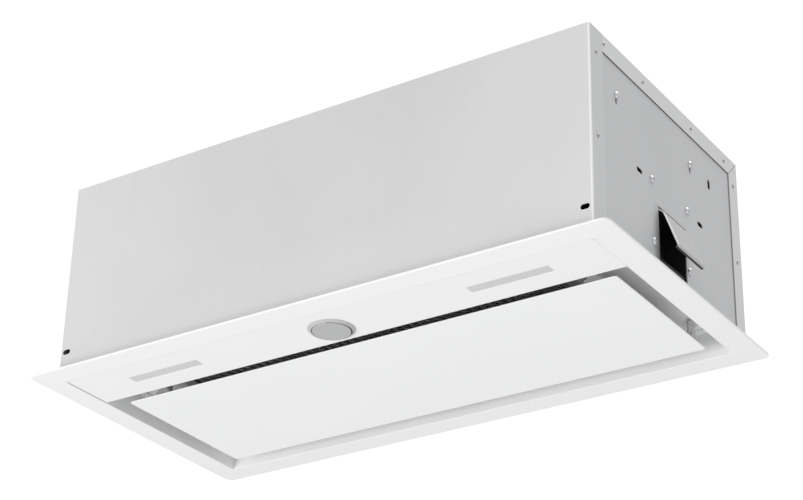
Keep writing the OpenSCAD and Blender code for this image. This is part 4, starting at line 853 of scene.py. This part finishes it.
# ---------------------------------------------------------------- duct collar
# A black moulded spigot for a 150 mm duct, with two shallow beads that hold the duct and a fillet
# down to its flange. Four pan-head screws fix the flange to the top sheet.
low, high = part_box("outlet_collar")
collar_x, collar_y, collar_r = (low.x + high.x) / 2, (low.y + high.y) / 2, (high.x - low.x) / 2
bore_r, ledge_r, foot_z, lip_z = collar_r - 0.002, collar_r - 0.006, low.z, high.z
pin_low, pin_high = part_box("flap_pin")
pin_z = (pin_low.z + pin_high.z) / 2
ledge_top = pin_z - 0.0009
outline = [(collar_r + 0.0014, foot_z), (collar_r + 0.0005, foot_z + 0.0003), (collar_r, foot_z + 0.0014)]
for bead_z in (foot_z + 0.0135, foot_z + 0.0195):
    outline += [(collar_r, bead_z), (collar_r + 0.0005, bead_z + 0.0004),
                (collar_r + 0.0006, bead_z + 0.0010), (collar_r + 0.0005, bead_z + 0.0016),
                (collar_r, bead_z + 0.0020)]
outline += [(collar_r, lip_z - 0.0030), (collar_r - 0.0005, lip_z - 0.0006), (collar_r - 0.0009, lip_z),
            (bore_r + 0.0004, lip_z), (bore_r, lip_z - 0.0004), (bore_r, ledge_top),
            (ledge_r + 0.0003, ledge_top), (ledge_r, ledge_top - 0.0003), (ledge_r, ledge_top - 0.0012),
            (ledge_r + 0.0003, ledge_top - 0.0015), (bore_r, ledge_top - 0.0015), (bore_r, foot_z)]
collar = lathe(outline, collar_x, collar_y)
parts, boss_r, boss_depth, boss_in = [collar], 0.004, 0.0050, 0.0015
for side in (-1, 1):
    bpy.ops.mesh.primitive_cylinder_add(
        vertices=32, radius=boss_r, depth=boss_depth, rotation=(0, math.pi / 2, 0),
        location=(collar_x + side * (bore_r - boss_in), collar_y, pin_z))
    boss = bpy.context.object
    bpy.ops.object.transform_apply(location=True, rotation=True, scale=True)
    bpy.ops.object.mode_set(mode="EDIT")
    choose(boss, lambda middle, way: way.x * side < -0.9, "FACE")
    bpy.ops.mesh.inset(thickness=0.0024)
    bpy.ops.mesh.extrude_region_move(TRANSFORM_OT_translate={"value": (side * 0.0020, 0, 0)})
    bpy.ops.object.mode_set(mode="OBJECT")
    ease(boss, 0.0002, 2, 50)
    parts.insert(0, boss)
pick(*parts)
bpy.ops.object.join()
collar = bpy.context.object
collar.name = "duct_spigot"
fit(collar, black_plastic, "hood", "black_plastic", "outlet_collar")

dress("collar_flange", "spigot_flange", 0.0004, 3, black_plastic, "black_plastic")

head_rise = 0.0020
collar_screw = pan_screw(seat=0.0, head=0.0032, rise=head_rise, shank=0.0018, length=0.0075)
seats = [Matrix.Translation(((a.x + b.x) / 2, (a.y + b.y) / 2, b.z - head_rise))
         @ Matrix.Rotation(0.4 + 1.3 * i, 4, "Z") for i, (a, b) in enumerate(solids("collar_screws"))]
fit(set_out(collar_screw, "spigot_screws", seats), plated_steel, "hood", "zinc", "collar_screws")

# ---------------------------------------------------------------- back-draught flaps
# Two half-round moulded flaps that lie on the spigot's ledge and swing up on a steel pin when the
# fan blows.
for node in ("front_flap", "rear_flap"):
    dress(node, node + "_moulded", 0.0003, 2, black_plastic, "black_plastic", body=node)
dress("flap_pin", "flap_pin_steel", 0.0002, 2, plated_steel, "zinc", corner=50)

# ---------------------------------------------------------------- cable gland
# A black nylon gland for the supply cord, which is not fitted: a six-sided shoulder above the top
# sheet, a lock nut below it, and a fluted dome nut with a hole for the cord.
low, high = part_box("cable_gland")
gland_x, gland_y = (low.x + high.x) / 2, (low.y + high.y) / 2
sheet_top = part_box("top_plate")[1].z
thread_r, dome_r, hole_r, hex_r = 0.0077, 0.0096, 0.0042, (high.x - low.x) / 2
nut_height, plate, flute_degrees = 0.005, 0.001, 7.5
nut_z = sheet_top + nut_height
dome = lathe([(thread_r, low.z + 0.0004), (thread_r, nut_z), (dome_r, nut_z + 0.0002),
              (dome_r, nut_z + 0.0010), (dome_r, nut_z + 0.0058), (dome_r - 0.0006, nut_z + 0.0076),
              (dome_r - 0.0024, high.z - 0.0009), (dome_r - 0.0040, high.z - 0.0002),
              (hole_r + 0.0006, high.z), (hole_r, high.z - 0.0006), (hole_r, low.z + 0.0004),
              (hole_r + 0.0004, low.z), (thread_r - 0.0004, low.z)], gland_x, gland_y, 48)
bpy.ops.object.mode_set(mode="EDIT")
choose(dome, lambda middle, way: abs(way.z) < 0.1 and nut_z + 0.0012 < middle.z < nut_z + 0.0055
       and (middle.xy - Vector((gland_x, gland_y))).length > dome_r - 0.0003
       and math.degrees(math.atan2(middle.y - gland_y, middle.x - gland_x)) // flute_degrees % 2 == 0,
       "FACE")
bpy.ops.mesh.inset(thickness=0.00025, depth=-0.0005, use_individual=True)
bpy.ops.object.mode_set(mode="OBJECT")
parts = [dome]
for foot in (sheet_top, sheet_top - plate - nut_height):
    bpy.ops.object.select_all(action="DESELECT")
    bpy.ops.mesh.primitive_cylinder_add(
        vertices=6, radius=hex_r, depth=nut_height, rotation=(0, 0, math.pi / 6),
        location=(gland_x, gland_y, foot + nut_height / 2))
    nut = bpy.context.object
    bpy.ops.object.transform_apply(location=True, rotation=True, scale=True)
    bpy.ops.object.mode_set(mode="EDIT")
    choose(nut, lambda middle, way: abs(way.z) > 0.99)
    bpy.ops.mesh.bevel(offset=0.0010, segments=3)
    choose(nut, lambda middle, way: way.z > 0.99, "FACE")
    bpy.ops.mesh.inset(thickness=0.0006, depth=0.0)
    bpy.ops.mesh.inset(thickness=0.0008, depth=-0.0003)
    bpy.ops.object.mode_set(mode="OBJECT")
    ease(nut, 0.0002, 2, 35)
    parts.insert(0, nut)
pick(*parts)
bpy.ops.object.join()
gland = bpy.context.object
gland.name = "gland_and_nuts"
fit(gland, black_plastic, "hood", "black_plastic", "cable_gland")

# ---------------------------------------------------------------- control box and wiring
# A black moulded box above the deck holds the speed board. The motor's run capacitor stands beside
# it, and a rubber-covered loom joins them to the switch, the lights and the motor.
for node in ("control_box", "control_box_cover"):
    dress(node, node + "_moulded", 0.0004, 2, black_plastic, "black_plastic")
coat(pale_plastic, "capacitor")
coat(rubber, "wiring_loom")

# ---------------------------------------------------------------- floor
# A plain, pale studio floor, far below the hood because the hood hangs. It sends light back up onto
# the hood's underside.
floor_z, floor_width = -3.4, 120
floor_finish, shader, place = new_finish("pale_floor", Specular_IOR_Level=0.2)
wire(shader, Base_Color=place.noise(1.5, 3).between((0.87, 0.87, 0.87), (0.895, 0.895, 0.895)),
     Roughness=place.noise(20, 3) * 0.1 + 0.6)
bpy.ops.object.select_all(action="DESELECT")
bpy.ops.mesh.primitive_plane_add(size=floor_width, location=(0, 0, floor_z))
floor = bpy.context.object
floor.name = "floor"
floor.data.materials.append(floor_finish)
